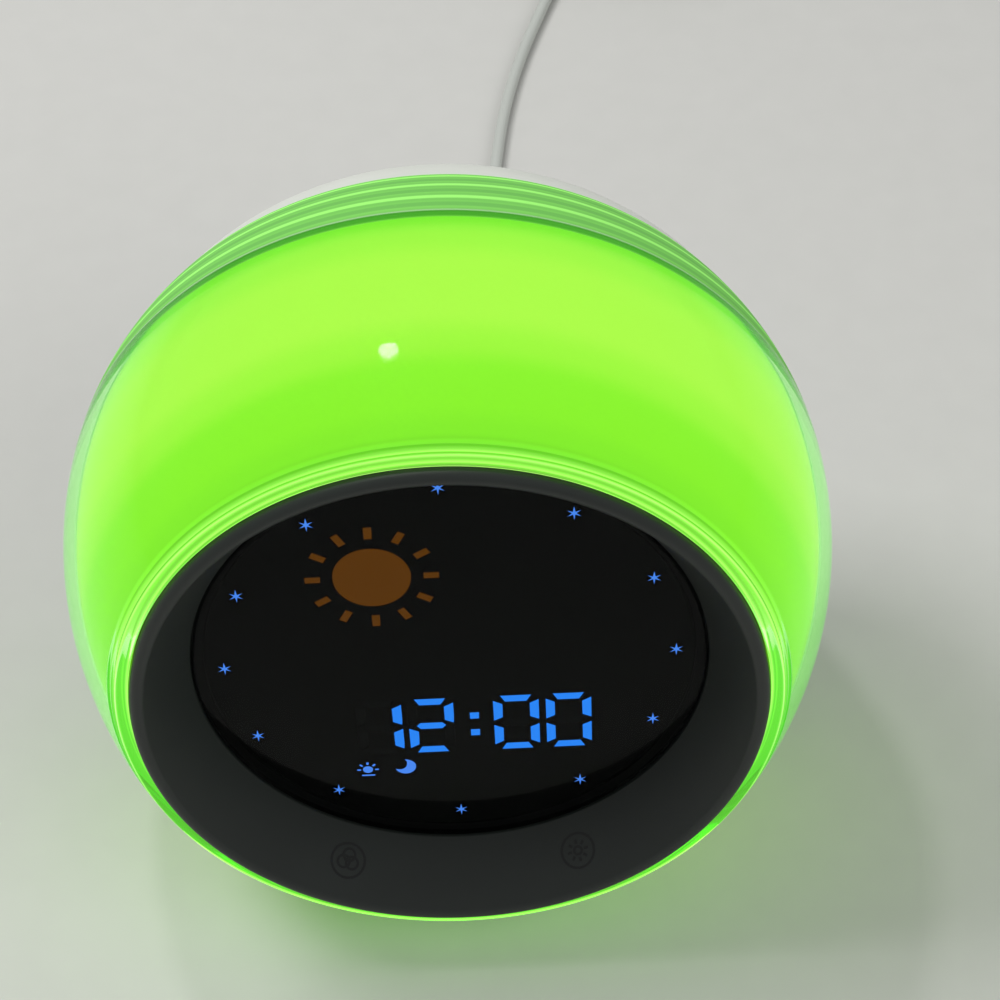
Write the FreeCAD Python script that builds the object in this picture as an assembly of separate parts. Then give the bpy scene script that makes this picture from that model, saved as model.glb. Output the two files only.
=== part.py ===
"""Round bedside alarm clock with night light: a glowing ball body, a dished display and a thin supply lead.

Millimetres, +Z up, the display towards -Y, origin on the floor under the middle of the body.
Most pieces are turned about the face axis, which runs through the middle of the display. They are
drawn in the face frame, where x is right, u is up along the face, and depth runs backwards from the
front of the lens. The finished solids are then tilted into the room frame.
"""
import FreeCAD, Part
import math
import os
from FreeCAD import Placement, Rotation, Vector

# Body
body_radius = 70.9            # widest radius of the ball, square to the face axis
front_arc_radius = 76.8       # the ball's outline in front of its widest place
rear_arc_radius = 59.0        # and behind it
rear_reach = 24.5             # from the widest place back to the shell's rear rim
face_tilt = 10.0              # degrees the display leans back
shell_wall = 2.0
running_gap = 0.3             # general clearance between neighbouring pieces

# Display face
lens_radius = 45.4
lens_thickness = 2.0
bezel_width = 9.7             # from the lens out to the bezel's edge
bezel_wall = 2.0
dish_depth = 10.8             # from the bezel's edge back to the lens
lip_width = 2.5
lip_rise = 1.8                # the lip's crest stands this far in front of the bezel's edge
crease_rise = 1.3             # and the crease inside it this far
bezel_seat_step = 0.8         # the skirt is set in under the bezel's edge
bezel_edge_depth = 2.4
skirt_stop_depth = -3.0
rim_land = 2.43               # flat front edge of the clear shell round the bezel

# Night light
diffuser_gap = 0.4            # air between the clear shell and the opal diffuser
diffuser_wall = 1.6
diffuser_front_gap = 0.36     # between the bezel's edge and the diffuser's flange behind it
ridged_ring_gap = 0.6         # air between the clear shell and the ridged ring
ridges_from_rim = (10.2, 6.7, 3.4)
ridge_groove = 1.0
drum_clearance = 7.0          # from the bezel's skirt in to the drum
drum_taper = 1.8
drum_wall = 2.2
ring_led_count = 12
ring_led_inset = 8.0          # from the chassis edge to the colour LEDs
ring_led_size = 5.0

# Chassis and back cover
chassis_from_rim = 9.0        # the chassis plate stands this far inside the shell's rear rim
chassis_clearance = 1.87      # from the shell's inside at its rear rim in to the chassis edge
chassis_thickness = 2.5
diffuser_from_chassis = 4.0
cover_round_radius = 31.4     # the back cover's rounded shoulder
cover_round_from_rim = 5.7    # its centre lies this far in front of the shell's rear rim
cover_rim_inset = 0.77        # the cover's front edge is this much smaller than the shell's rim
cover_wall = 2.2
cover_step = 0.4              # gap between the shell's rim and the cover
cover_screw_spacing = 53.8
grille_hole_radius = 1.3
grille_pitch = 4.6
speaker_height = 12.0
speaker_radius = 20.0

# Rear buttons
button_count = 5
button_radius = 4.5
button_space = 2.0            # cover left between two caps
button_height = -17.0
button_proud = 1.2
button_travel = 0.7
switch_size = 6.0

# Base
foot_height = 1.8
base_cut = 13.0               # how much of the ball is cut away flat
base_thickness = 2.5
base_margin = 2.73            # the ball's flat reaches this far past the base plate
base_forward = 4.0            # the base's middle lies this far in front of the ball's
foot_margin = 2.7
foot_width = 5.0
coin_cell_radius = 10.0
coin_cell_thickness = 3.2
battery_forward = 8.0         # the battery well's middle, in front of the base's
spigot_margin = 10.2
spigot_height = 1.4
post_radius = 3.0
rear_post_x = 20.0            # the rear posts stand just in front of the colour LEDs
front_post_x = 16.0
post_spacing = 22.0           # from the rear posts to the front ones

# Lead
cord_diameter = 3.0
jack_x = 6.0
plug_radius = 4.75
plug_pin_radius = 1.75
plug_pin_reach = 7.6
coil_centre = Vector(59.0, 259.0, 0.0)
coil_start_angle = 160.0
coil_outer_radius = 22.4
coil_pitch = 3.6
coil_layers = 4
turns_per_layer = 3
coil_turns = 11
tie_thickness = 0.7
tie_width = 6.0

# Display marks, in the face frame
star_edge_distance = 5.4      # from the lens's edge in to the hour stars
star_angles = (0.0, 34.2, 64.1, 90.0, 116.0, 145.8, 180.0, 214.2, 244.0, 270.0, 295.9, 325.8)
star_radius = 1.6
star_waist = 0.45
digit_height = 14.2
digit_width = 8.4
digit_rise = 23.1             # the digits' middle stands this far above the lowest star
digit_centres = (-13.7, -4.3, 11.2, 20.7)
segment_width = 1.8
segment_gap = 0.4             # half of the space between two bars
digit_corner = 1.2            # the outer corners of a digit stay open by this much
colon_x = 3.6
sun_x = -12.4
sun_drop = 19.6               # below the top star
sun_radius = 6.8
sun_ray_count = 12
sunrise_x = -16.7
sunrise_rise = 12.1           # above the lowest star
moon_x = -9.7
moon_rise = 12.5
mark_gap = 0.1                # round each window, between the mask and its light guide
led_size = 0.9                # display chip under a bar, a dot or the sun
star_led_size = 0.6           # and under a star, inside its waist
mask_edge = 2.2               # from the lens's edge in to the light-cup mask
mask_thickness = 6.0
guide_thickness = 2.6
touch_key_angle = 26.0        # either side of six o'clock

# Worked out from these
sin_tilt = math.sin(math.radians(face_tilt))
cos_tilt = math.cos(math.radians(face_tilt))
bezel_outer_radius = lens_radius + bezel_width
bezel_outer_depth = -dish_depth
lip_crest_depth = bezel_outer_depth - lip_rise
crease_depth = bezel_outer_depth - crease_rise
bezel_skirt_radius = bezel_outer_radius - bezel_seat_step
mask_radius = lens_radius - mask_edge
star_ring_radius = lens_radius - star_edge_distance
digit_middle = digit_rise - star_ring_radius
sun_centre = (sun_x, star_ring_radius - sun_drop)
sunrise_centre = (sunrise_x, sunrise_rise - star_ring_radius)
moon_centre = (moon_x, moon_rise - star_ring_radius)
drum_front_radius = bezel_skirt_radius - drum_clearance
drum_rear_radius = drum_front_radius - drum_taper
equator_depth = bezel_outer_depth + math.sqrt(
    front_arc_radius ** 2 - (bezel_outer_radius + rim_land - body_radius + front_arc_radius) ** 2)
shell_rear_depth = equator_depth + rear_reach
chassis_depth = shell_rear_depth - chassis_from_rim
chassis_radius = (body_radius - rear_arc_radius - chassis_clearance
                  + math.sqrt((rear_arc_radius - shell_wall) ** 2 - rear_reach ** 2))
diffuser_rear_depth = chassis_depth - diffuser_from_chassis
ridge_depths = [shell_rear_depth - back for back in ridges_from_rim]
ring_wall = shell_wall + ridged_ring_gap
ring_led_radius = chassis_radius - ring_led_inset
cover_round_depth = shell_rear_depth - cover_round_from_rim
cover_flat_radius = (
    body_radius - rear_arc_radius + math.sqrt(rear_arc_radius ** 2 - rear_reach ** 2) - cover_rim_inset
    - math.sqrt(cover_round_radius ** 2 - (cover_round_from_rim + cover_step) ** 2))
cover_back_depth = cover_round_depth + cover_round_radius
jack_height = -cover_flat_radius
cover_inner_depth = cover_back_depth - cover_wall
button_pitch = 2 * button_radius + button_space
ring_height = (foot_height + base_thickness - base_cut + front_arc_radius
               - (front_arc_radius - body_radius) * cos_tilt + equator_depth * sin_tilt)
base_radius = math.sqrt(body_radius ** 2 - (body_radius - base_cut) ** 2) - base_margin
foot_outer = base_radius - foot_margin
foot_inner = foot_outer - foot_width
spigot_radius = base_radius - spigot_margin
base_top = foot_height + base_thickness
spigot_top = base_top + spigot_height

os.makedirs("parts", exist_ok=True)


# Helpers

def face_point(radius, depth):
    return Vector(radius, 0, -depth)


def barrel_radius(depth, inset=0.0):
    """Radius of the ball at a depth, for a surface that lies inset under the outside."""
    arc = front_arc_radius if depth < equator_depth else rear_arc_radius
    return body_radius - arc + math.sqrt((arc - inset) ** 2 - (depth - equator_depth) ** 2)


def barrel_front_depth(radius, inset=0.0):
    """Depth at which the front of that surface has the given radius."""
    reach = radius - body_radius + front_arc_radius
    return equator_depth - math.sqrt((front_arc_radius - inset) ** 2 - reach ** 2)


def barrel_run(start, end, inset=0.0):
    """Profile points along the ball from one depth to another, as arcs that meet at the equator."""
    stops = [start]
    if (start - equator_depth) * (end - equator_depth) < 0:
        stops.append(equator_depth)
    stops.append(end)
    points = [(barrel_radius(start, inset), start)]
    for a, b in zip(stops, stops[1:]):
        middle = (a + b) / 2
        side = min(middle, equator_depth - 1e-6) if min(a, b) < equator_depth else middle
        points.append((barrel_radius(b, inset), b, barrel_radius(side, inset), side))
    return points


def turned(points):
    """Solid turned about the face axis. A point of four numbers ends an arc through its last two."""
    edges = []
    here = face_point(*points[0][:2])
    for point in list(points[1:]) + [points[0][:2]]:
        there = face_point(*point[:2])
        if len(point) == 4:
            edges.append(Part.Arc(here, face_point(*point[2:]), there).toShape())
        elif here.distanceToPoint(there) > 1e-6:
            edges.append(Part.LineSegment(here, there).toShape())
        here = there
    solid = Part.Face(Part.Wire(edges)).revolve(Vector(0, 0, 0), Vector(0, 0, 1), 360)
    return solid if solid.Volume > 0 else solid.reversed()


def rod(x, u, front, back, radius):
    """Round bar along the face axis."""
    return Part.makeCylinder(radius, back - front, Vector(x, u, -back), Vector(0, 0, 1))


def plate(outline, front, back):
    """Flat plate across the face axis from an outline of (x, u) points."""
    points = [Vector(x, u, -back) for x, u in outline]
    wire = Part.makePolygon(points + points[:1])
    return Part.Face(wire).extrude(Vector(0, 0, back - front))


def block(x, u, width, height, front, back):
    return Part.makeBox(width, height, back - front, Vector(x - width / 2, u - height / 2, -back))


def polar(radius, degrees):
    """Face position at a clock angle, counted clockwise from twelve o'clock."""
    return radius * math.sin(math.radians(degrees)), radius * math.cos(math.radians(degrees))


def joined(solids):
    return solids[0].multiFuse(solids[1:]).removeSplitter() if len(solids) > 1 else solids[0]


def cut_away(solid, tools):
    return solid.cut(Part.makeCompound(tools))


def mid_arc(start, direction, end):
    """Point half way round the arc that leaves start along direction and reaches end."""
    chord = end - start
    along = Vector(chord)
    along.normalize()
    side = direction - along * direction.dot(along)
    middle = start + chord * 0.5
    if side.Length < 1e-9:
        return middle
    side.normalize()
    half_turn = direction.getAngle(along)
    return middle + side * (chord.Length / 2 * math.tan(half_turn / 2))


def biarc(start, leave, end, arrive):
    """Two arcs that meet smoothly and join two points with a direction at each."""
    span = end - start
    both = leave + arrive
    spread = 2 * (1 - leave.dot(arrive))
    reach = (-span.dot(both) + math.sqrt(span.dot(both) ** 2 + spread * span.dot(span))) / spread
    meet = (start + end + (leave - arrive) * reach) * 0.5
    first = Part.Arc(start, mid_arc(start, leave, meet), meet)
    last = Part.Arc(meet, mid_arc(end, arrive * -1, meet), end)
    return [first.toShape(), last.toShape()]


def tube(edges, diameter):
    """Round cord along a chain of edges."""
    path = Part.Wire(edges)
    start = path.OrderedEdges[0]
    section = Part.Wire([Part.Circle(start.valueAt(start.FirstParameter),
                                     start.tangentAt(start.FirstParameter), diameter / 2).toShape()])
    return path.makePipeShell([section], True, False)


def rounded_route(points):
    """Straight runs joined by arcs as large as the shorter run beside each corner allows."""
    edges = []
    radii = []
    here = points[0]
    for before, corner, after in zip(points, points[1:], points[2:]):
        arriving = (corner - before).normalize()
        leaving = (after - corner).normalize()
        half = arriving.getAngle(leaving) / 2
        setback = 0.45 * min((corner - before).Length, (after - corner).Length)
        radii.append(setback / math.tan(half))
        arc_start = corner - arriving * setback
        arc_end = corner + leaving * setback
        edges.append(Part.LineSegment(here, arc_start).toShape())
        edges.append(Part.Arc(arc_start, mid_arc(arc_start, arriving, arc_end), arc_end).toShape())
        here = arc_end
    edges.append(Part.LineSegment(here, points[-1]).toShape())
    return edges, radii


# Ball body

def clear_shell():
    """Clear outer ball, open at the front for the bezel and at the back for the cover."""
    mouth = bezel_outer_radius + running_gap
    front = bezel_outer_depth - 0.1
    inner_front = barrel_front_depth(mouth, shell_wall)
    outside = barrel_run(front, shell_rear_depth)
    inside = barrel_run(shell_rear_depth, inner_front, shell_wall)
    shell = turned(outside + inside + [(mouth, front)])
    grooves = []
    for depth in (front + 1.1, front + 2.2):
        edge = barrel_radius(depth)
        grooves.append(turned([(edge - 0.4, depth - 0.3), (edge + 1, depth - 0.3),
                               (edge + 1, depth + 0.3), (edge - 0.4, depth + 0.3)]))
    return cut_away(shell, grooves)


def inner_diffuser():
    """Opal ball just inside the clear one, with a flange that closes in on the bezel."""
    outer_inset = shell_wall + diffuser_gap
    inner_inset = outer_inset + diffuser_wall
    front = bezel_outer_depth + bezel_edge_depth + diffuser_front_gap
    flange = bezel_skirt_radius + running_gap
    outside = barrel_run(front, diffuser_rear_depth, outer_inset)
    inside = barrel_run(diffuser_rear_depth, front + diffuser_wall, inner_inset)
    return turned(outside + inside + [(flange, front + diffuser_wall), (flange, front)])


def ridged_ring():
    """Ribbed light ring that shows as fine lines through the clear rear rim."""
    start = diffuser_rear_depth + running_gap
    end = shell_rear_depth - 0.8
    inner = chassis_radius + running_gap
    ring = turned(barrel_run(start, end, ring_wall) + [(inner, end), (inner, start)])
    grooves = []
    for depth in ridge_depths:
        edge = barrel_radius(depth, ring_wall)
        half = ridge_groove / 2
        grooves.append(turned([(edge - ridge_groove, depth), (edge + 1, depth - half - 0.4),
                               (edge + 1, depth + half + 0.4)]))
    return cut_away(ring, grooves)


# Display face

dish_run = bezel_outer_radius - lip_width - (lens_radius + running_gap)
dish_rise = -crease_depth
dish_length = math.hypot(dish_run, dish_rise)
dish_back_radius = lens_radius + running_gap + bezel_wall * dish_rise / dish_length
dish_back_depth = bezel_wall * dish_run / dish_length
bezel_boss_radius = bezel_skirt_radius - bezel_wall - 2.4
bezel_boss_angles = (45, 135, 225, 315)
mask_front = lens_thickness + 0.2
ledge_front = lens_thickness + running_gap
ledge_back = ledge_front + 1.5
mask_flange_front = ledge_back + 0.2
mask_flange_back = mask_flange_front + 2.0


def front_bezel():
    """Deep dish round the lens with a rounded lip, and the ledge and bosses behind it."""
    seat = lens_radius + running_gap
    ledge = mask_radius + 0.4
    skirt_inner = bezel_skirt_radius - bezel_wall
    edge_back = bezel_outer_depth + bezel_edge_depth
    inner_corner = dish_back_depth - (skirt_inner - dish_back_radius) * dish_rise / dish_run
    bezel = turned([
        (seat, 0), (bezel_outer_radius - lip_width, crease_depth),
        (bezel_outer_radius, bezel_outer_depth, bezel_outer_radius - lip_width * 0.4, lip_crest_depth),
        (bezel_outer_radius, edge_back), (bezel_skirt_radius, edge_back),
        (bezel_skirt_radius, skirt_stop_depth), (skirt_inner, skirt_stop_depth),
        (skirt_inner, inner_corner), (dish_back_radius, dish_back_depth),
        (dish_back_radius, ledge_back), (ledge, ledge_back), (ledge, ledge_front), (seat, ledge_front)])
    bosses = []
    holes = []
    for angle in bezel_boss_angles:
        x, u = polar(bezel_boss_radius, angle)
        bosses.append(rod(x, u, skirt_stop_depth, mask_flange_back, 2.3))
        holes.append(rod(x, u, mask_flange_back - 5.0, mask_flange_back, 1.15))
    return cut_away(joined([bezel] + bosses), holes)


def display_lens():
    """Smoked disc, flush with the foot of the dish."""
    chamfer = 0.3
    return turned([(0, 0), (lens_radius - chamfer, 0), (lens_radius, chamfer),
                   (lens_radius, lens_thickness), (0, lens_thickness)])


def lens_gasket():
    """Adhesive ring between the lens and its ledge."""
    inner = mask_radius + 0.5
    return turned([(inner, lens_thickness), (lens_radius, lens_thickness),
                   (lens_radius, ledge_front), (inner, ledge_front)])


def inset(outline, by):
    """The outline of (x, u) points, given clockwise, with every side moved inwards."""
    moved_in = []
    count = len(outline)
    for index, (x, u) in enumerate(outline):
        before, after = outline[index - 1], outline[(index + 1) % count]
        ax, au = x - before[0], u - before[1]
        bx, bu = after[0] - x, after[1] - u
        a_length, b_length = math.hypot(ax, au), math.hypot(bx, bu)
        nx, nu = au / a_length + bu / b_length, -ax / a_length - bx / b_length
        scale = by / (1 + (ax * bx + au * bu) / (a_length * b_length))
        moved_in.append((x + nx * scale, u + nu * scale))
    return moved_in


def segment_outlines(centre, shrink):
    """Seven bars of one digit, shrunk on every side: top, then clockwise round to the middle bar."""
    w, h, t, g = digit_width / 2, digit_height / 2, segment_width, segment_gap
    flat, upright = w - t - g, h - digit_corner
    top = [(-w + digit_corner, h), (w - digit_corner, h), (flat, h - t), (-flat, h - t)]
    right = [(w, upright), (w, g), (w - t, t / 2 + g), (w - t, h - t - g)]
    middle = [(-w + t - g, 0), (-flat, t / 2), (flat, t / 2), (w - t + g, 0), (flat, -t / 2), (-flat, -t / 2)]
    lower = [(x, -u) for x, u in reversed(right)]
    bottom = [(x, -u) for x, u in reversed(top)]
    left = [(-x, u) for x, u in reversed(right)]
    lower_left = [(-x, u) for x, u in reversed(lower)]
    bars = [top, right, lower, bottom, lower_left, left, middle]
    return [[(centre + x, digit_middle + u) for x, u in inset(bar, shrink)] for bar in bars]


def colon_outlines(shrink):
    half = segment_width / 2 - shrink
    outlines = []
    for side in (-1, 1):
        u = digit_middle + side * 2.2
        outlines.append([(colon_x - half, u - half), (colon_x + half, u - half),
                         (colon_x + half, u + half), (colon_x - half, u + half)])
    return outlines


def star_outlines(shrink):
    """Small six-pointed hour marks."""
    outlines = []
    for angle in star_angles:
        x, u = polar(star_ring_radius, angle)
        outline = []
        for corner in range(12):
            size = (star_waist if corner % 2 else star_radius) - shrink
            a, b = polar(size, 30 * corner)
            outline.append((x + a, u + b))
        outlines.append(outline)
    return outlines


def sun_ray_outlines(shrink):
    """Straight bars round the plain sun disc."""
    outlines = []
    for ray in range(sun_ray_count):
        angle = 360 * ray / sun_ray_count
        corners = []
        for radius, side in ((8.8, -1), (8.8, 1), (11.6, 1), (11.6, -1)):
            reach = radius + (shrink if radius < 10 else -shrink)
            a, b = polar(reach, angle)
            c, d = polar(0.75 - shrink, angle + 90)
            corners.append((sun_centre[0] + a + side * c, sun_centre[1] + b + side * d))
        outlines.append(corners)
    return outlines


def status_icons(front, back, shrink):
    """Rising sun and crescent moon, each a few plain windows."""
    x, u = sunrise_centre
    solids = [rod(x, u, front, back, 1.0 - shrink),
              block(x, u - 1.5, 2.6 - 2 * shrink, 0.5 - shrink, front, back)]
    for angle in (-90, -45, 0, 45, 90):
        ray = block(0, 1.65, 0.5 - shrink, 0.8 - shrink, front, back)
        ray.rotate(Vector(0, 0, 0), Vector(0, 0, 1), -angle)
        ray.translate(Vector(x, u, 0))
        solids.append(ray)
    x, u = moon_centre
    solids.append(rod(x, u, front, back, 2.0 - shrink).cut(
        rod(x - 1.1, u + 0.8, front - 1, back + 1, 1.4 + shrink)))
    return solids


def windows(outlines, front, back):
    return [plate(outline, front, back) for outline in outlines]


def digit_outlines(shrink):
    return [bar for centre in digit_centres for bar in segment_outlines(centre, shrink)]


def display_mask():
    """Black light-cup plate: one cup for each segment, star and icon, with a clamping flange."""
    back = mask_front + mask_thickness
    mask = turned([(0, mask_front), (mask_radius, mask_front), (mask_radius, mask_flange_front),
                   (mask_radius + 3.8, mask_flange_front), (mask_radius + 3.8, mask_flange_back),
                   (mask_radius, mask_flange_back), (mask_radius, back), (0, back)])
    front = mask_front - 1
    outlines = digit_outlines(0) + colon_outlines(0) + star_outlines(0) + sun_ray_outlines(0)
    cups = windows(outlines, front, back + 1)
    cups.append(rod(*sun_centre, front, back + 1, sun_radius))
    cups += status_icons(front, back + 1, 0)
    return cut_away(mask, cups)


guide_front = mask_front + 0.1
guide_back = guide_front + guide_thickness


def guides(outlines):
    """Frosted light guides that fill the front of the mask's windows."""
    return Part.makeCompound(windows(outlines, guide_front, guide_back))


def sun_guides():
    disc = rod(*sun_centre, guide_front, guide_back, sun_radius - mark_gap)
    rays = windows(sun_ray_outlines(mark_gap), guide_front, guide_back)
    return Part.makeCompound([disc] + rays)


display_board_front = mask_front + mask_thickness + 0.2
display_board_back = display_board_front + 1.6
display_board_radius = mask_radius - 0.7
display_screw_angles = (50, 170, 290)
display_screw_radius = display_board_radius - 7.5


def display_board():
    holes = [rod(*polar(display_screw_radius, angle), display_board_front, display_board_back, 1.15)
             for angle in display_screw_angles]
    disc = rod(0, 0, display_board_front, display_board_back, display_board_radius)
    return cut_away(disc, holes)


def display_leds():
    """One chip under every segment, dot and star, and four under the sun."""
    places = [(sum(x for x, u in bar) / len(bar), sum(u for x, u in bar) / len(bar))
              for bar in digit_outlines(0)]
    places += [(colon_x, digit_middle + side * 2.2) for side in (-1, 1)]
    for angle in (45, 135, 225, 315):
        a, b = polar(3.4, angle)
        places.append((sun_centre[0] + a, sun_centre[1] + b))
    stars = [polar(star_ring_radius, angle) for angle in star_angles]
    return Part.makeCompound([
        block(x, u, size, size, display_board_front - 0.7, display_board_front)
        for size, spots in ((led_size, places), (star_led_size, stars)) for x, u in spots])


def touch_pads():
    """Two sensing discs on the back of the dish, under the touch marks."""
    slope = math.atan2(dish_run, dish_rise)
    pads = []
    for side in (-1, 1):
        x, u = polar(1.0, 180 - side * touch_key_angle)
        outward = Vector(x, u, 0)
        middle = outward * (dish_back_radius + dish_run * 0.36)
        middle.z = -(dish_back_depth - dish_rise * 0.36)
        away = outward * math.cos(slope) + Vector(0, 0, -math.sin(slope))
        pads.append(Part.makeCylinder(3.2, 0.6, middle + away * running_gap, away))
    return Part.makeCompound(pads)


def screw(x, u, head_back, shank_front, head_radius, shank_radius, head_height):
    """Pan-head screw along the face axis, its head towards the back."""
    head = rod(x, u, head_back - head_height, head_back, head_radius)
    shank = rod(x, u, shank_front, head_back - head_height, shank_radius)
    return head.fuse(shank).removeSplitter()


def display_screws():
    return Part.makeCompound([
        screw(*polar(display_screw_radius, angle), display_board_back + 1.2, mask_front + 3.0, 2.0, 1.0, 1.2)
        for angle in display_screw_angles])


def mask_screw_holes():
    return [rod(*polar(display_screw_radius, angle), mask_front + 2.5, mask_front + mask_thickness, 1.05)
            for angle in display_screw_angles]


# Inside the ball

drum_rear_depth = chassis_depth - 0.2
drum_foot_radius = drum_rear_radius - 3.5
drum_screw_angles = (30, 150, 270)


def drum_space(wall):
    """Room inside the drum, for trimming what is fused to its outside."""
    return turned([(0, mask_flange_back - 1), (drum_front_radius - wall, mask_flange_back - 1),
                   (drum_front_radius - wall, mask_flange_back + 2),
                   (drum_rear_radius - wall, drum_rear_depth), (0, drum_rear_depth)])


def reflector_drum():
    """White core round which the light spreads. It joins the bezel to the chassis."""
    front = mask_flange_back
    drum = turned([
        (mask_radius + 0.8, front), (bezel_skirt_radius - 1.3, front),
        (bezel_skirt_radius - 1.3, front + 2), (drum_front_radius, front + 2),
        (drum_rear_radius, drum_rear_depth), (drum_foot_radius - 2.5, drum_rear_depth),
        (drum_foot_radius - 2.5, drum_rear_depth - 3),
        (drum_rear_radius - drum_wall + 0.2, drum_rear_depth - 3),
        (drum_front_radius - drum_wall, front + 2), (mask_radius + 0.8, front + 2)])
    holes = [rod(*polar(bezel_boss_radius, angle), front - 1, front + 3, 1.3)
             for angle in bezel_boss_angles]
    holes += [rod(*polar(drum_foot_radius, angle), drum_rear_depth - 3, drum_rear_depth + 1, 1.15)
              for angle in drum_screw_angles]
    return cut_away(drum, holes)


def base_posts():
    """Posts under the drum that take the base screws, in the room frame."""
    posts = []
    holes = []
    for x, y in post_places:
        foot = Vector(x, y, spigot_top + 0.1)
        posts.append(Part.makeCylinder(post_radius, ring_height - foot.z, foot))
        holes.append(Part.makeCylinder(1.35, 8.0, foot))
    return posts, holes


def bezel_screws():
    back = mask_flange_back + 2 + 1.6
    return Part.makeCompound([
        screw(*polar(bezel_boss_radius, angle), back, mask_flange_back - 4.5, 2.1, 1.1, 1.6)
        for angle in bezel_boss_angles])


def ring_board():
    """Ring of circuit board that carries the colour LEDs of the night light."""
    inner = ring_led_radius - 4.5
    outer = ring_led_radius + 4.5
    back = chassis_depth - 0.2
    return turned([(inner, back - 1.6), (outer, back - 1.6), (outer, back), (inner, back)])


ring_led_front = chassis_depth - 3.4


def ring_leds():
    front = ring_led_front
    chips = []
    for index in range(ring_led_count):
        angle = 360 / ring_led_count * (index + 0.5)
        chip = block(0, ring_led_radius, ring_led_size, ring_led_size, front, front + 1.6)
        chip.rotate(Vector(0, 0, 0), Vector(0, 0, 1), angle)
        chips.append(chip)
    return Part.makeCompound(chips)


board_screw_angles = (90, 210, 330)
board_screw_radius = 25.0
main_board_front = chassis_depth + chassis_thickness + 4.0
main_board_back = main_board_front + 1.6
cover_screw_places = [(x * cover_screw_spacing / 2, u * cover_screw_spacing / 2)
                      for x in (-1, 1) for u in (-1, 1)]


def chassis():
    """Round middle plate with a rim for the back cover and standoffs for the main board."""
    front = chassis_depth
    back = front + chassis_thickness
    rim = shell_rear_depth + 0.1
    body = turned([(8, front), (chassis_radius, front), (chassis_radius, rim), (chassis_radius - 2, rim),
                   (chassis_radius - 2, back), (8, back)])
    standoffs = [rod(*polar(board_screw_radius, angle), back, main_board_front, 3.0)
                 for angle in board_screw_angles]
    standoffs += [rod(x, u, back, back + 6.0, 3.4) for x, u in cover_screw_places]
    holes = [rod(*polar(board_screw_radius, angle), front, main_board_front, 1.05)
             for angle in board_screw_angles]
    holes += [rod(x, u, front, back + 6.0, 1.2) for x, u in cover_screw_places]
    holes += [rod(*polar(drum_foot_radius, angle), front - 1, back + 1, 1.3) for angle in drum_screw_angles]
    return cut_away(joined([body] + standoffs), holes)


def drum_screws():
    back = chassis_depth + chassis_thickness + 1.6
    return Part.makeCompound([
        screw(*polar(drum_foot_radius, angle), back, drum_rear_depth - 2.6, 2.1, 1.1, 1.6)
        for angle in drum_screw_angles])


def main_board():
    holes = [rod(*polar(board_screw_radius, angle), main_board_front, main_board_back, 1.2)
             for angle in board_screw_angles]
    return cut_away(rod(0, 0, main_board_front, main_board_back, 30.0), holes)


def board_parts():
    """Controller, sound chip, clock crystal, two capacitors and the lead sockets."""
    back = main_board_back
    return Part.makeCompound([
        block(0, -2, 10, 10, back, back + 1.4), block(-13, 8, 6, 5, back, back + 1.5),
        rod(10, 6, back, back + 6.5, 2.5), rod(16, 6, back, back + 6.5, 2.5),
        block(-12, -6, 7, 2.2, back, back + 2.2), block(-2, -19, 12, 5, back, back + 6.0),
        block(12, -15, 8, 5, back, back + 6.0)])


def board_screws():
    return Part.makeCompound([
        screw(*polar(board_screw_radius, angle), main_board_back + 1.4, chassis_depth + 1.0, 2.0, 1.0, 1.4)
        for angle in board_screw_angles])


# Back

button_places = [((index - (button_count - 1) / 2) * button_pitch, button_height)
                 for index in range(button_count)]
cover_boss_front = chassis_depth + chassis_thickness + 6.1
jack_bore_radius = plug_radius + 0.45


def cover_round_at(depth, inset=0.0):
    return cover_flat_radius + math.sqrt((cover_round_radius - inset) ** 2 - (depth - cover_round_depth) ** 2)


def back_cover():
    """Rounded rear half-shell with grille, button holes, socket hole and screw bosses."""
    front = shell_rear_depth + cover_step
    step_back = front + 2.0
    spigot = chassis_radius - 2 - running_gap
    middle = cover_round_radius * math.sqrt(0.5)
    inner_middle = (cover_round_radius - cover_wall) * math.sqrt(0.5)
    cover = turned([
        (0, cover_back_depth), (cover_flat_radius, cover_back_depth),
        (cover_round_at(front), front, cover_flat_radius + middle, cover_round_depth + middle),
        (spigot, front), (spigot, front - 3.4), (spigot - 1.8, front - 3.4), (spigot - 1.8, step_back),
        (cover_round_at(step_back, cover_wall), step_back),
        (cover_flat_radius, cover_inner_depth, cover_flat_radius + inner_middle,
         cover_round_depth + inner_middle), (0, cover_inner_depth)])
    bosses = [rod(x, u, cover_boss_front, cover_back_depth - 1, 3.6) for x, u in cover_screw_places]
    holes = [rod(x, u, cover_boss_front - 1, cover_back_depth, 1.5) for x, u in cover_screw_places]
    holes += [rod(x, u, cover_back_depth - 3.6, cover_back_depth + 2, 2.8) for x, u in cover_screw_places]
    holes += [rod(x, u, cover_inner_depth - 1, cover_back_depth + 1, button_radius + running_gap)
              for x, u in button_places]
    holes.append(rod(jack_x, jack_height, cover_inner_depth - 1, cover_back_depth + 1, jack_bore_radius))
    for ring in range(3):
        for index in range(max(1, 6 * ring)):
            x, u = polar(ring * grille_pitch, 60 / max(1, ring) * index)
            holes.append(rod(x, u + speaker_height, cover_inner_depth - 1, cover_back_depth + 1,
                             grille_hole_radius))
    return cut_away(joined([cover] + bosses), holes)


def cover_screws():
    return Part.makeCompound([
        screw(x, u, cover_back_depth - 1.4, chassis_depth + 3.0, 2.6, 1.15, 2.2)
        for x, u in cover_screw_places])


speaker_back = cover_inner_depth - 0.2


def turned_at(points, x, u):
    solid = turned(points)
    solid.translate(Vector(x, u, 0))
    return solid


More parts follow.
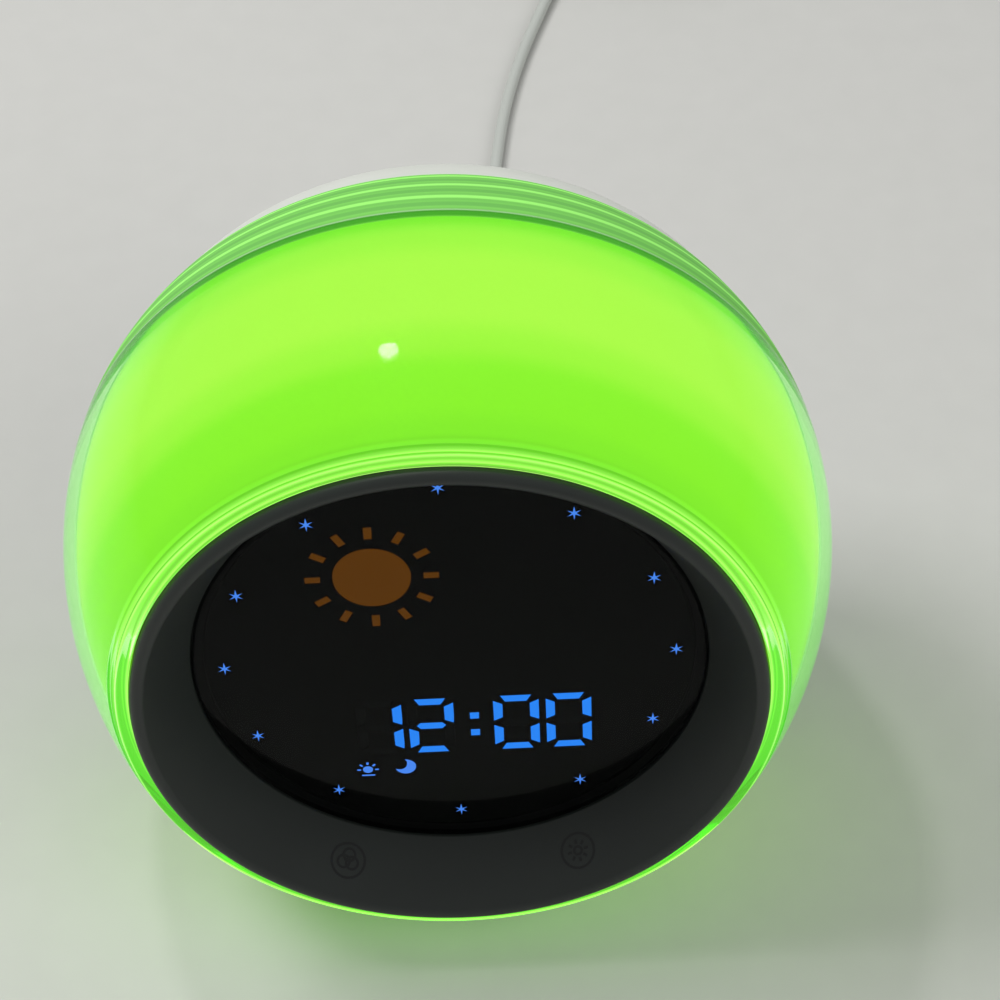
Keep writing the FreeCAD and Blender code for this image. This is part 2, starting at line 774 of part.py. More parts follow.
def speaker_frame():
    """Basket behind the grille, with a flat rim against the cover."""
    r, back = speaker_radius, speaker_back
    return turned_at([(r - 3, back), (r, back), (r, back - 1.4), (r - 2.5, back - 1.4), (11, back - 8),
                      (11, back - 9.5), (5, back - 9.5), (5, back - 8), (9.5, back - 8),
                      (r - 4.0, back - 1.4)], 0, speaker_height)


def speaker_cone():
    r, back = speaker_radius - 4.2, speaker_back
    return turned_at([(0, back - 4.4), (5, back - 5.4), (r, back - 0.6), (r, back - 1.0), (5, back - 5.9),
                      (4.4, back - 5.9), (0, back - 4.9)], 0, speaker_height)


def speaker_magnet():
    """Pot magnet with the voice-coil pole in the middle of the basket."""
    back = speaker_back - 9.5
    return turned_at([(0, back + 3.4), (4.2, back + 3.4), (4.2, back), (10, back), (10, back - 5.5),
                      (0, back - 5.5)], 0, speaker_height)


cap_front = cover_inner_depth - running_gap
switch_board_back = cap_front - 1.2 - 3.0 - (button_travel + running_gap) - 4.3


def button_cap(x, u):
    """Push cap with a retaining flange inside the cover and a stem towards its switch."""
    dome = 0.5
    r = button_radius
    back = cover_back_depth + button_proud
    stem_front = cap_front - 1.2 - 3.0
    points = [(0, back), (r - dome, back), (r, back - dome, r - dome * 0.3, back - dome * 0.3),
              (r, cap_front), (r + 0.9, cap_front), (r + 0.9, cap_front - 1.2), (1.6, cap_front - 1.2),
              (1.6, stem_front), (0, stem_front)]
    return turned_at(points, x, u)


def button_switches():
    """Press switches under the caps, with their round plungers."""
    back = switch_board_back
    return Part.makeCompound([
        block(x, u, switch_size, switch_size, back, back + 3.5).fuse(rod(x, u, back + 3.5, back + 4.3, 1.7))
        for x, u in button_places])


def button_board():
    """Narrow board behind the buttons, with a tail that carries the supply socket."""
    front = switch_board_back - 1.6
    low = button_height - 5.4
    high = button_height + 4.8
    reach = button_pitch * (button_count - 1) / 2 + 5.0
    left, right, foot = jack_x - 6.0, jack_x + 6.0, jack_height - 6.5
    return plate([(-reach, low), (left, low), (left, foot), (right, foot), (right, low),
                  (reach, low), (reach, high), (-reach, high)], front, switch_board_back)


jack_back = cover_inner_depth - 0.9


def power_socket():
    """Round supply socket that stands on the button board's tail."""
    body = block(jack_x, jack_height, 9.4, 9.4, switch_board_back, jack_back)
    bore_front = jack_back - plug_pin_reach - 0.4
    return body.cut(rod(jack_x, jack_height, bore_front, jack_back, plug_pin_radius + 0.05))


plug_front = jack_back + 0.3
plug_back = plug_front + 15.0
relief_back = plug_back + 13.0


def dc_plug():
    """Plug body with its metal barrel in the socket."""
    r = plug_radius
    body = turned_at([(0, plug_front), (r - 0.4, plug_front), (r, plug_front + 0.4), (r, plug_back - 4),
                      (3.2, plug_back, r - 0.35, plug_back - 1.6), (0, plug_back)], jack_x, jack_height)
    barrel = rod(jack_x, jack_height, jack_back - plug_pin_reach, plug_front, plug_pin_radius)
    return body.fuse(barrel)


def relief_profile(start, length, wide, narrow, rings):
    """Tapered sleeve with grooves, so that it bends evenly."""
    points = [(0, start), (wide, start)]
    step = length / rings
    for index in range(rings):
        near = start + step * index
        taper = (wide - narrow) / length
        outer = wide - taper * (near + step * 0.55 - start)
        points += [(outer, near + step * 0.55), (outer - 0.45, near + step * 0.55),
                   (outer - 0.45, near + step * 0.95)]
        points.append((wide - taper * (near + step - start), near + step * 0.95))
    points += [(narrow, start + length), (0, start + length)]
    return points


def dc_strain_relief():
    return turned_at(relief_profile(plug_back, relief_back - plug_back, 2.9, 2.1, 3), jack_x, jack_height)


# Base, in the room frame

door_radius = coin_cell_radius + 4.2


def disc(radius, low, high, forward=0.0):
    return Part.makeCylinder(radius, high - low, Vector(0, base_y - forward, low))


def door_screw_place():
    return Vector(0, base_y - battery_forward + door_radius - 2.0, foot_height)


def base_plate():
    """Flat plinth that closes the ball underneath, with the battery well and screw holes."""
    rim = disc(base_radius, foot_height, base_top)
    bottom_edges = [e for e in rim.Edges if abs(e.BoundBox.ZMax - foot_height) < 1e-6]
    plinth = rim.makeFillet(1.0, bottom_edges).fuse(disc(spigot_radius, base_top, spigot_top))
    well = [disc(door_radius + 0.2, foot_height - 1, foot_height + 1.6, battery_forward),
            disc(coin_cell_radius + 0.7, foot_height, spigot_top + 1, battery_forward)]
    groove = disc(foot_outer + 0.1, foot_height - 1, foot_height + 0.3).cut(
        disc(foot_inner - 0.1, foot_height - 2, foot_height + 1))
    holes = [Part.makeCylinder(1.6, 10, Vector(x, y, 0)) for x, y in post_places]
    holes += [Part.makeCylinder(3.1, 2.0, Vector(x, y, foot_height - 0.2)) for x, y in post_places]
    holes.append(Part.makeCylinder(1.1, 3.8, door_screw_place()))
    return cut_away(plinth, well + [groove] + holes)


def foot_ring():
    """Soft ring that the clock stands on."""
    return disc(foot_outer, 0, foot_height + 0.2).cut(disc(foot_inner, -1, foot_height + 1))


def battery_door():
    door = disc(door_radius, foot_height, foot_height + 1.4, battery_forward)
    return door.cut(Part.makeCylinder(1.1, 3.0, door_screw_place() - Vector(0, 0, 1)))


def battery_door_screw():
    return Part.makeCylinder(1.0, 3.5, door_screw_place() + Vector(0, 0, 0.1))


def coin_cell():
    low = foot_height + 1.7
    return disc(coin_cell_radius, low, low + coin_cell_thickness, battery_forward)


def coin_cell_holder():
    """Cup over the well, which presses the cell's contacts."""
    low = spigot_top + 0.05
    roof = foot_height + 1.7 + coin_cell_thickness + 0.2
    cup = disc(coin_cell_radius + 3.0, low, roof + 1.2, battery_forward)
    return cup.cut(disc(coin_cell_radius + 0.5, low - 1, roof, battery_forward))


def base_screws():
    screws = []
    for x, y in post_places:
        head = Part.makeCylinder(2.8, 1.4, Vector(x, y, foot_height + 0.2))
        shank = Part.makeCylinder(1.3, 10.0, Vector(x, y, foot_height + 1.6))
        screws.append(head.fuse(shank).removeSplitter())
    return Part.makeCompound(screws)


# Lead

coil_lift = tie_thickness + 0.1
coil_floor = cord_diameter / 2 + coil_lift
coil_inner_radius = coil_outer_radius - (turns_per_layer - 0.5) * coil_pitch


def coil_point(turn):
    """Centre of the cord after so many turns. Loops spiral in and out and climb at each reversal."""
    layer = min(int(turn // turns_per_layer), coil_layers - 1)
    along = turn - layer * turns_per_layer
    climb_start = turns_per_layer - 0.5
    inward = layer % 2 == 0
    flat = min(along, climb_start)
    travelled = flat * coil_pitch
    lift = 0.0
    if along > climb_start:
        share = (along - climb_start) / 0.5
        travelled += coil_pitch * (along - climb_start) * (1 - share)
        lift = share * share * (3 - 2 * share) * coil_pitch
    radius = coil_outer_radius - travelled if inward else coil_inner_radius + travelled
    angle = math.radians(coil_start_angle - 360 * turn)
    return coil_centre + Vector(radius * math.cos(angle), radius * math.sin(angle),
                                coil_floor + layer * coil_pitch + lift)


def coil_direction(turn):
    step = 1e-4
    return (coil_point(turn + step) - coil_point(max(0.0, turn - step))).normalize()


def coil_stops():
    """Quarter turns in the climbs and half turns elsewhere."""
    stops = [0.0]
    while stops[-1] < coil_turns - 1e-9:
        along = stops[-1] % turns_per_layer
        stops.append(stops[-1] + (0.25 if along >= turns_per_layer - 0.5 - 1e-9 else 0.5))
    return stops


def power_cord_coil():
    stops = coil_stops()
    start, leave = coil_point(0.0), coil_direction(0.0)
    edges = [Part.LineSegment(start - leave * cord_diameter, start).toShape()]
    for near, far in zip(stops, stops[1:]):
        edges += biarc(coil_point(near), coil_direction(near), coil_point(far), coil_direction(far))
    end, arrive = coil_point(stops[-1]), coil_direction(stops[-1])
    edges.append(Part.LineSegment(end, end + arrive * cord_diameter).toShape())
    return tube(edges, cord_diameter), edges


def coil_gap(edges):
    """Least clear gap between stretches of the coil that aren't neighbours along the cord."""
    points = []
    for edge in edges:
        count = max(2, int(edge.Length / 1.2))
        points += [edge.valueAt(edge.FirstParameter + (edge.LastParameter - edge.FirstParameter) * i / count)
                   for i in range(count)]
    least = 1e9
    skip = 20
    for i, here in enumerate(points):
        for there in points[i + skip:]:
            least = min(least, here.distanceToPoint(there))
    return least - cord_diameter


def cord_tie():
    """Loose band round the coil's bundle."""
    inner = coil_inner_radius - cord_diameter / 2 - 0.9
    outer = coil_outer_radius + cord_diameter / 2 + 0.9
    top = coil_floor + (coil_layers - 1) * coil_pitch + cord_diameter / 2 + 0.3
    t = tie_thickness
    band = Part.makeBox(outer - inner + 2 * t, tie_width, top + t, Vector(inner - t, -tie_width / 2, 0))
    space = Part.makeBox(outer - inner, tie_width + 2, top - t, Vector(inner, -tie_width / 2 - 1, t))
    ring = band.cut(space)
    ring.rotate(Vector(0, 0, 0), Vector(0, 0, 1), 40)
    ring.translate(coil_centre)
    return ring


usb_width = 15.6
usb_thickness = 8.0
usb_length = 22.0


def usb_plug(end, direction):
    """Moulded plug lying flat, its metal shell and its sleeve, made along +X and then turned."""
    relief = 9.0
    half = usb_thickness / 2
    body = Part.makeBox(usb_length, usb_width, usb_thickness, Vector(relief, -usb_width / 2, -half))
    long_edges = [e for e in body.Edges if abs(e.tangentAt(e.FirstParameter).x) > 0.9]
    body = body.makeFillet(1.6, long_edges)
    shell_x = relief + usb_length
    shell = Part.makeBox(11.8, 12.0, 4.5, Vector(shell_x, -6.0, -2.25)).cut(
        Part.makeBox(11.0, 11.4, 3.9, Vector(shell_x + 1, -5.7, -1.95)))
    tongue = Part.makeBox(9.5, 10.6, 1.8, Vector(shell_x + 1, -5.3, -1.8))
    sleeve = turned(relief_profile(0, relief, 2.9, 2.1, 3))
    sleeve.rotate(Vector(0, 0, 0), Vector(0, 1, 0), 90)
    sleeve.translate(Vector(relief, 0, 0))
    turn = Placement(end, Rotation(Vector(1, 0, 0), direction))
    pieces = {"usb_plug_body": body, "usb_plug_shell": shell, "usb_plug_tongue": tongue,
              "usb_strain_relief": sleeve}
    return {name: moved(solid, turn) for name, solid in pieces.items()}


# Assembly

def moved(solid, placement):
    return solid.transformed(placement.toMatrix())


def above(solid, height):
    """What is left of a solid above a level cut."""
    room = Part.makeBox(400, 400, 400, Vector(-200, -200, height))
    return solid.common(room)


level = Placement(Vector(0, 0, ring_height), Rotation(Vector(1, 0, 0), 90 - face_tilt))
bezel_solid = front_bezel()
cover_solid = back_cover()
caps = {}
button_names = ("mode_button", "minus_button", "plus_button", "alarm_button", "light_button")
for name, place in zip(button_names, button_places):
    caps[name] = button_cap(*place)

front_most = moved(bezel_solid, level).optimalBoundingBox(False).YMin
rear_most = max(moved(solid, level).optimalBoundingBox(False).YMax
                for solid in [cover_solid] + list(caps.values()))
ring_y = -(front_most + rear_most) / 2
base_y = ring_y + equator_depth * cos_tilt - base_forward
led_front_y = ring_y + ring_led_front * cos_tilt - (ring_led_radius + ring_led_size / 2) * sin_tilt
post_y = led_front_y - post_radius - 0.2
post_places = [(side * x, y) for x, y in ((rear_post_x, post_y), (front_post_x, post_y - post_spacing))
               for side in (-1, 1)]
face_frame = Placement(Vector(0, ring_y, ring_height), level.Rotation)

mask_solid = cut_away(display_mask(), mask_screw_holes())
posts, post_holes = base_posts()
drum_solid = moved(reflector_drum(), face_frame)
drum_room = moved(drum_space(drum_wall), face_frame)
drum_solid = joined([drum_solid] + [post.cut(drum_room) for post in posts])
drum_solid = cut_away(drum_solid, post_holes)

face_pieces = {
    "display_lens": display_lens(), "lens_gasket": lens_gasket(), "display_mask": mask_solid,
    "digit_segments": guides(digit_outlines(mark_gap)), "colon_dots": guides(colon_outlines(mark_gap)),
    "star_markers": guides(star_outlines(mark_gap)), "sun_window": sun_guides(),
    "status_icons": Part.makeCompound(status_icons(guide_front, guide_back, mark_gap)),
    "display_board": display_board(), "display_leds": display_leds(), "display_screws": display_screws(),
    "touch_pads": touch_pads(), "bezel_screws": bezel_screws(), "ring_leds": ring_leds(),
    "drum_screws": drum_screws(), "main_board": main_board(), "board_parts": board_parts(),
    "board_screws": board_screws(), "cover_screws": cover_screws(), "speaker_frame": speaker_frame(),
    "speaker_cone": speaker_cone(), "speaker_magnet": speaker_magnet(), "button_board": button_board(),
    "button_switches": button_switches(), "power_socket": power_socket(), "dc_plug": dc_plug(),
    "dc_strain_relief": dc_strain_relief(), "front_bezel": bezel_solid}
face_pieces.update(caps)

nodes = {name: moved(solid, face_frame) for name, solid in face_pieces.items()}
nodes["clear_shell"] = above(moved(clear_shell(), face_frame), base_top)
spigot_room = disc(spigot_radius + running_gap, 0, spigot_top + running_gap)
nodes["back_cover"] = above(moved(cover_solid, face_frame), base_top).cut(spigot_room)
nodes["inner_diffuser"] = above(moved(inner_diffuser(), face_frame), base_top + running_gap)
nodes["ridged_ring"] = above(moved(ridged_ring(), face_frame), base_top + running_gap).cut(spigot_room)
nodes["chassis"] = above(moved(chassis(), face_frame), spigot_top + running_gap)
nodes["ring_board"] = above(moved(ring_board(), face_frame), spigot_top + running_gap)
nodes["reflector_drum"] = drum_solid
nodes["base_plate"] = base_plate()
nodes["foot_ring"] = foot_ring()
nodes["battery_door"] = battery_door()
nodes["battery_door_screw"] = battery_door_screw()
nodes["coin_cell"] = coin_cell()
nodes["coin_cell_holder"] = coin_cell_holder()
nodes["base_screws"] = base_screws()

# The lead leaves the clock at the back, comes down to the floor and runs off to the right
exit_point = face_frame.multVec(Vector(jack_x, jack_height, -relief_back))
exit_direction = face_frame.Rotation.multVec(Vector(0, 0, -1))
coil_start = coil_point(0.0) - coil_direction(0.0) * cord_diameter
lead_route = [
    exit_point,
    exit_point + exit_direction * 13.0,
    Vector(6.7, 96.0, 8.2),
    Vector(7.8, 111.5, 3.3),
    Vector(9.3, 128.0, 1.5),
    Vector(10.6, 147.0, 1.5),
    Vector(12.6, 166.0, 1.5),
    Vector(15.3, 187.0, 1.5),
    Vector(20.0, 208.0, 1.5),
    Vector(26.6, 229.0, 1.6),
    Vector(31.3, 242.5, coil_floor),
    coil_start - coil_direction(0.0) * 12.5,
    coil_start,
]
coil_end = coil_point(coil_turns) + coil_direction(coil_turns) * cord_diameter
tail_route = [
    coil_end,
    coil_end + coil_direction(coil_turns) * 9.0,
    Vector(48.9, 287.0, 10.3),
    Vector(56.4, 293.2, 6.2),
    Vector(66.5, 296.0, 4.0),
    Vector(77.0, 295.9, 4.0),
]
lead_edges, lead_radii = rounded_route(lead_route)
tail_edges, tail_radii = rounded_route(tail_route)
coil_solid, coil_edges = power_cord_coil()
nodes["power_cord"] = tube(lead_edges, cord_diameter)
nodes["power_cord_coil"] = coil_solid
nodes["power_cord_tail"] = tube(tail_edges, cord_diameter)
nodes["cord_tie"] = cord_tie()
nodes.update(usb_plug(tail_route[-1], (tail_route[-1] - tail_route[-2]).normalize()))

for name, shape in nodes.items():
    shape.exportStep("parts/" + name + ".step")

# Measurements that the record needs
section = math.pi * cord_diameter ** 2 / 4
for title, solid, edges in (("lead", nodes["power_cord"], lead_edges), ("coil", coil_solid, coil_edges),
                            ("tail", nodes["power_cord_tail"], tail_edges)):
    length = sum(edge.Length for edge in edges)
    print(title, "length %.1f volume %.1f section x length %.1f" % (length, solid.Volume, section * length))
print("lead bend radii", [round(radius, 1) for radius in lead_radii])
print("tail bend radii", [round(radius, 1) for radius in tail_radii])
print("coil least gap to itself %.2f" % coil_gap(coil_edges))
print("ring centre y %.2f z %.2f" % (ring_y, ring_height))
print("lead exit", [round(value, 2) for value in exit_point])
print("coil start", [round(value, 2) for value in lead_route[-1]], "end", [round(v, 2) for v in coil_end])
for name, place in zip(button_names, button_places):
    print(name, [round(v, 2) for v in face_frame.multVec(Vector(place[0], place[1], -cover_back_depth))])
print("press direction", [round(v, 4) for v in face_frame.Rotation.multVec(Vector(0, 0, 1))])
for name, shape in nodes.items():
    if not shape.isValid() or shape.Volume <= 0:
        print("check", name, shape.isValid(), shape.Volume)
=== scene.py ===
# %% [markdown]
# # A round alarm clock with a night light
# This lesson dresses a finished CAD model. The CAD frame gives every size and place, in metres, with Z up,
# the clock's face towards -Y and the origin on the floor under the ball. First comes the frame, then the
# camera and the lead, then the turned body pieces, the display marks and the finishes.

# %% Load the CAD frame
import math

import bmesh
import bpy
from mathutils import Matrix, Vector


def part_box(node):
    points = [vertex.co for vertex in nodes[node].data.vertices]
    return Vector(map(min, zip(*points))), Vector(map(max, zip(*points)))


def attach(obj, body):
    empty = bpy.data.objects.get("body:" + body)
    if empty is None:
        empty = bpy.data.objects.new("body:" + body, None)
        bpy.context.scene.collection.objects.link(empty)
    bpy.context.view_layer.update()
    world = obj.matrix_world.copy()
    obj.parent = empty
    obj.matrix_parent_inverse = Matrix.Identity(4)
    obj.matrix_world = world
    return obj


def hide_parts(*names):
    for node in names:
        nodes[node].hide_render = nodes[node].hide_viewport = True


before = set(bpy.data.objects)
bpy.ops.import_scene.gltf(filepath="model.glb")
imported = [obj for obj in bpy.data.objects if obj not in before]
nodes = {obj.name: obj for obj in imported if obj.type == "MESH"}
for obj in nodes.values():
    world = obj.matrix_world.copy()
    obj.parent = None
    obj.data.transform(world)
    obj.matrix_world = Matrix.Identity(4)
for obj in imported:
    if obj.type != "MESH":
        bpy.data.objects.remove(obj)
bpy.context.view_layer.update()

MM = 0.001

# %% [markdown]
# Most pieces of this clock are turned about one line, the face axis, which leans back with the display.
# They are drawn in a face frame of their own, where x is right, u is up along the face and depth runs
# back from the front of the lens, because a round outline is simplest to think about there. One matrix
# takes face points to the room. Its centre is read from the lens, whose box is centred on the axis.

# %% The face frame
face_tilt = math.radians(10.0)
lens_thickness = 2.0 * MM
lens_low, lens_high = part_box("display_lens")
axis_back = Vector((0, math.cos(face_tilt), -math.sin(face_tilt)))
face_centre = (lens_low + lens_high) / 2 - axis_back * lens_thickness / 2
to_room = Matrix.Translation(face_centre) @ Matrix.Rotation(math.radians(90) - face_tilt, 4, "X")
print("face centre, mm", [round(v / MM, 2) for v in face_centre])


def face_point(x, u, depth):
    """Room place of a face point given in metres."""
    return to_room @ Vector((x, u, -depth))


# %% [markdown]
# The camera looks down on the clock from the front, close enough that the near rim of the display looks
# clearly larger than the far side of the ball. A real photograph is matched by its place, its aim, its
# roll and its focal length. The roll matters here: the lead and the display both lean a little.

# %% Camera
camera_place = Vector((12.78, -261.90, 398.41)) * MM
camera_forward = Vector((-0.00680, 0.62707, -0.77893))
camera_roll = math.radians(-3.04)
camera_data = bpy.data.cameras.new("camera")
camera_data.lens = 81.84
camera_data.sensor_width = 36.0
camera_data.clip_start, camera_data.clip_end = 0.02, 50
camera = bpy.data.objects.new("camera", camera_data)
bpy.context.scene.collection.objects.link(camera)
aim = camera_forward.to_track_quat("-Z", "Y").to_matrix() @ Matrix.Rotation(camera_roll, 3, "Z")
camera.matrix_world = Matrix.Translation(camera_place) @ aim.to_4x4()
bpy.context.scene.camera = camera
print("camera right", [round(v, 4) for v in aim.col[0]])

# %% [markdown]
# The lead is one flexible cord. It leaves its strain relief at the back, sinks to the floor under its own
# weight and runs off to the right. The rest of its length is put away in a tied coil behind the clock.
# One NURBS curve follows the whole route, since a spline bends evenly like the real PVC. Its order is set
# after its points are added, so that it stays a smooth quadratic curve.

# %% The lead's route
cord_diameter = 3.0 * MM
lead_exit = Vector((6.0, 67.35, 15.71)) * MM
lead_points = [(6.3, 96.0, 8.2), (7.0, 111.5, 3.3), (8.2, 128.0, 1.5), (9.4, 147.0, 1.5), (11.4, 166.0, 1.5),
               (14.2, 187.0, 1.5), (19.2, 208.0, 1.5), (26.4, 229.0, 1.6), (31.3, 242.5, 2.3),
               (32.3, 252.2, 2.3)]
tail_points = [(40.2, 278.0, 13.1), (48.9, 287.0, 10.3), (56.4, 293.2, 6.2), (66.5, 296.0, 4.0),
               (77.0, 295.9, 4.0)]
coil_centre = Vector((59.0, 259.0)) * MM
coil_start_angle = math.radians(160.0)
coil_outer_radius = 22.4 * MM
coil_pitch = 3.6 * MM
coil_floor = 2.3 * MM
coil_layers, turns_per_layer, coil_turns = 4, 3, 11
points_per_turn = 20
coil_inner_radius = coil_outer_radius - (turns_per_layer - 0.5) * coil_pitch


def coil_point(turn):
    """Place of the cord after so many turns: each layer spirals across, then climbs in its last half turn."""
    layer = min(int(turn // turns_per_layer), coil_layers - 1)
    along = turn - layer * turns_per_layer
    flat = min(along, turns_per_layer - 0.5)
    travelled, lift = flat * coil_pitch, 0.0
    if along > flat:
        share = (along - flat) / 0.5
        travelled += coil_pitch * (along - flat) * (1 - share)
        lift = share * share * (3 - 2 * share) * coil_pitch
    radius = coil_inner_radius + travelled if layer % 2 else coil_outer_radius - travelled
    angle = coil_start_angle - math.tau * turn
    # a quadratic spline runs inside its control points, so these stand out by what it cuts off
    radius /= math.cos(math.pi / points_per_turn)
    return Vector((coil_centre.x + radius * math.cos(angle), coil_centre.y + radius * math.sin(angle),
                   coil_floor + layer * coil_pitch + lift))


route = [lead_exit, lead_exit + axis_back * 13 * MM] + [Vector(p) * MM for p in lead_points]
route += [coil_point(step / points_per_turn) for step in range(coil_turns * points_per_turn + 1)]
route += [Vector(p) * MM for p in tail_points]

# %% [markdown]
# Finishes come next, because every piece is given one as it is made. A colour is written as the sRGB hex
# that a picture editor shows and turned to linear light here. One small function adds a node, so that
# each finish below reads as a short list of what the real surface has.

# %% Colours and nodes
def rgb(code):
    """Linear RGBA of an sRGB hex colour."""
    channels = [int(code[i:i + 2], 16) / 255 for i in (1, 3, 5)]
    return tuple(c / 12.92 if c <= 0.04045 else ((c + 0.055) / 1.055) ** 2.4 for c in channels) + (1.0,)


def add_node(tree, kind, inputs=(), **settings):
    """Adds a node. inputs gives a value, or another node's output, for each socket by name or number."""
    node = tree.nodes.new(kind)
    for name, value in settings.items():
        setattr(node, name, value)
    for key, value in dict(inputs).items():
        if isinstance(value, bpy.types.NodeSocket):
            tree.links.new(value, node.inputs[key])
        else:
            node.inputs[key].default_value = value
    return node


def finish(name, colour, roughness, grain_mm=None, grain_depth_mm=0.0, mottle=0.0, **shader):
    """A moulded, plated or printed surface: plain values on the shader, with fine grain in its bump."""
    material = bpy.data.materials.new(name)
    material.use_nodes = True
    tree = material.node_tree
    principled = tree.nodes["Principled BSDF"]
    principled.inputs["Base Color"].default_value = rgb(colour)
    principled.inputs["Roughness"].default_value = roughness
    for key, value in shader.items():
        principled.inputs[key.replace("_", " ")].default_value = value
    place = add_node(tree, "ShaderNodeTexCoord").outputs["Object"]
    if grain_mm:
        noise = add_node(tree, "ShaderNodeTexNoise", {
            "Vector": place, "Scale": 1 / (grain_mm * MM), "Detail": 3.0})
        bump = add_node(tree, "ShaderNodeBump", {
            "Height": noise.outputs["Fac"], "Distance": grain_depth_mm * MM, "Strength": 1.0})
        tree.links.new(bump.outputs["Normal"], principled.inputs["Normal"])
    if mottle:
        cloud = add_node(tree, "ShaderNodeTexNoise", {"Vector": place, "Scale": 1 / (9 * MM), "Detail": 2.0})
        low, high = (tuple(c * f for c in rgb(colour)[:3]) + (1.0,) for f in (1 - mottle, 1 + mottle))
        ramp = add_node(tree, "ShaderNodeValToRGB", {"Fac": cloud.outputs["Fac"]})
        ramp.color_ramp.elements[0].color, ramp.color_ramp.elements[1].color = low, high
        ramp.color_ramp.elements[0].position, ramp.color_ramp.elements[1].position = 0.3, 0.7
        tree.links.new(ramp.outputs["Color"], principled.inputs["Base Color"])
    return material


# %% [markdown]
# The ball's outer skin is clear PMMA, injection moulded and polished. Inside it sits an opal polycarbonate
# ball that spreads the light of a ring of green LEDs, brightest over the LEDs, so its glow runs in soft
# bands round the face axis: the depth along that axis is a dot product of the place with the axis, and a
# ramp turns it into light. Some of the light is caught inside the clear skin too. It leaks out where the
# skin is cut, at its front edge and in its grooves, and it tints the long way through the skin at the rim,
# which a volume that takes up red and blue gives without changing the thin middle.
# Behind its widest part the skin is moulded in fine ridges that hide what is under them, so there it turns from
# clear to solid. Its colour there is a painted green glow, with a painted bright line along each ridge. Both follow
# the depth in the plastic.

# %% Clear and glowing plastics
def depth_in(tree):
    """Metres behind the middle of the lens's front, along the face axis."""
    place = add_node(tree, "ShaderNodeTexCoord").outputs["Object"]
    along = add_node(tree, "ShaderNodeVectorMath", {0: place, 1: tuple(axis_back)}, operation="DOT_PRODUCT")
    return add_node(tree, "ShaderNodeMath", {0: along.outputs["Value"], 1: face_centre.dot(axis_back)},
                    operation="SUBTRACT").outputs[0]


def ramp_of(tree, value, stops, bands="LINEAR"):
    """Colour ramp from pairs of a place from 0 to 1 and a hex colour."""
    ramp = add_node(tree, "ShaderNodeValToRGB", {"Fac": value})
    ramp.color_ramp.interpolation = bands
    elements = ramp.color_ramp.elements
    elements.remove(elements[-1])
    for place, colour in stops:
        element = elements[0] if place == stops[0][0] else elements.new(place)
        element.position, element.color = place, rgb(colour)
    return ramp.outputs["Color"]


def glowing(name, base, roughness, strength, stops, grain_depth_mm=0.0, bands="LINEAR", **shader):
    """Plastic lit from inside. stops pair a depth in millimetres with the colour of the glow there."""
    material = finish(name, base, roughness, 0.5 if grain_depth_mm else None, grain_depth_mm, **shader)
    tree = material.node_tree
    principled = tree.nodes["Principled BSDF"]
    start, end = stops[0][0], stops[-1][0]
    share = add_node(tree, "ShaderNodeMapRange", {
        "Value": depth_in(tree), "From Min": start * MM, "From Max": end * MM})
    glow = ramp_of(tree, share.outputs["Result"],
                   [((depth - start) / (end - start), colour) for depth, colour in stops], bands)
    tree.links.new(glow, principled.inputs["Emission Color"])
    principled.inputs["Emission Strength"].default_value = strength
    return material


skin_glow = "#2c6018"
# Painted glow: the bright stops at the front edge, at the two grooves and at the rear rim are painted light, bands
# of glow where light leaks out of the skin.
clear_pmma = glowing("clear_pmma_moulded_painted_glow", "#fafff6", 0.02, 0.9, [
    (-10.9, "#5c9034"), (-10.84, "#c8f884"), (-10.66, "#c8f884"), (-10.5, "#4c8a28"), (-10.3, skin_glow),
    (-10.05, skin_glow), (-9.9, "#a8e468"), (-9.7, "#a8e468"), (-9.5, skin_glow), (-8.9, skin_glow),
    (-8.75, "#5ca030"), (-8.6, "#5ca030"), (-8.4, skin_glow), (56.0, skin_glow), (57.0, "#50a030")],
    Transmission_Weight=1.0, IOR=1.15, Specular_IOR_Level=0.0)
skin = clear_pmma.node_tree
behind = depth_in(skin)
ridges_begin, ridges_solid, solid_share = 38.0, 38.7, 0.9    # mm, mm and the share that isn't clear
wide_lines, fine_lines, fine_share = 5.8, 1.93, 0.35         # mm, mm and how much the fine ones count


def painted_line_wave(spacing_mm):
    """0 to 1 and back along the face axis: one painted bright line in each spacing."""
    half = spacing_mm / 2 * MM
    swing = add_node(skin, "ShaderNodeMath", {0: behind, 1: half}, operation="PINGPONG").outputs[0]
    return add_node(skin, "ShaderNodeMapRange", {"Value": swing, "From Max": half}).outputs["Result"]


solid = add_node(skin, "ShaderNodeMapRange", {
    "Value": behind, "From Min": ridges_begin * MM, "From Max": ridges_solid * MM,
    "To Max": solid_share}).outputs["Result"]
clear_share = add_node(skin, "ShaderNodeMath", {0: 1.0, 1: solid}, operation="SUBTRACT")
wave = add_node(skin, "ShaderNodeMix", {
    "Factor": fine_share, "A": painted_line_wave(wide_lines), "B": painted_line_wave(fine_lines)}).outputs[0]
# Painted glow: behind the ridges the clear skin's base colour is painted green light, with a painted bright line
# along each ridge.
painted_ridge_glow = ramp_of(skin, wave, [(0.3, "#4ca024"), (0.55, "#60b830"), (0.75, "#94f060")])
painted_glow_base = add_node(skin, "ShaderNodeMix", {"Factor": solid, "A": rgb("#fafff6"), "B": painted_ridge_glow}, data_type="RGBA")
skin.links.new(clear_share.outputs[0], skin.nodes["Principled BSDF"].inputs["Transmission Weight"])
skin.links.new(painted_glow_base.outputs["Result"], skin.nodes["Principled BSDF"].inputs["Base Color"])
tint = add_node(skin, "ShaderNodeVolumeAbsorption", {"Color": (0.3, 0.9, 0.08, 1), "Density": 80.0})
skin.links.new(tint.outputs["Volume"], skin.nodes["Material Output"].inputs["Volume"])
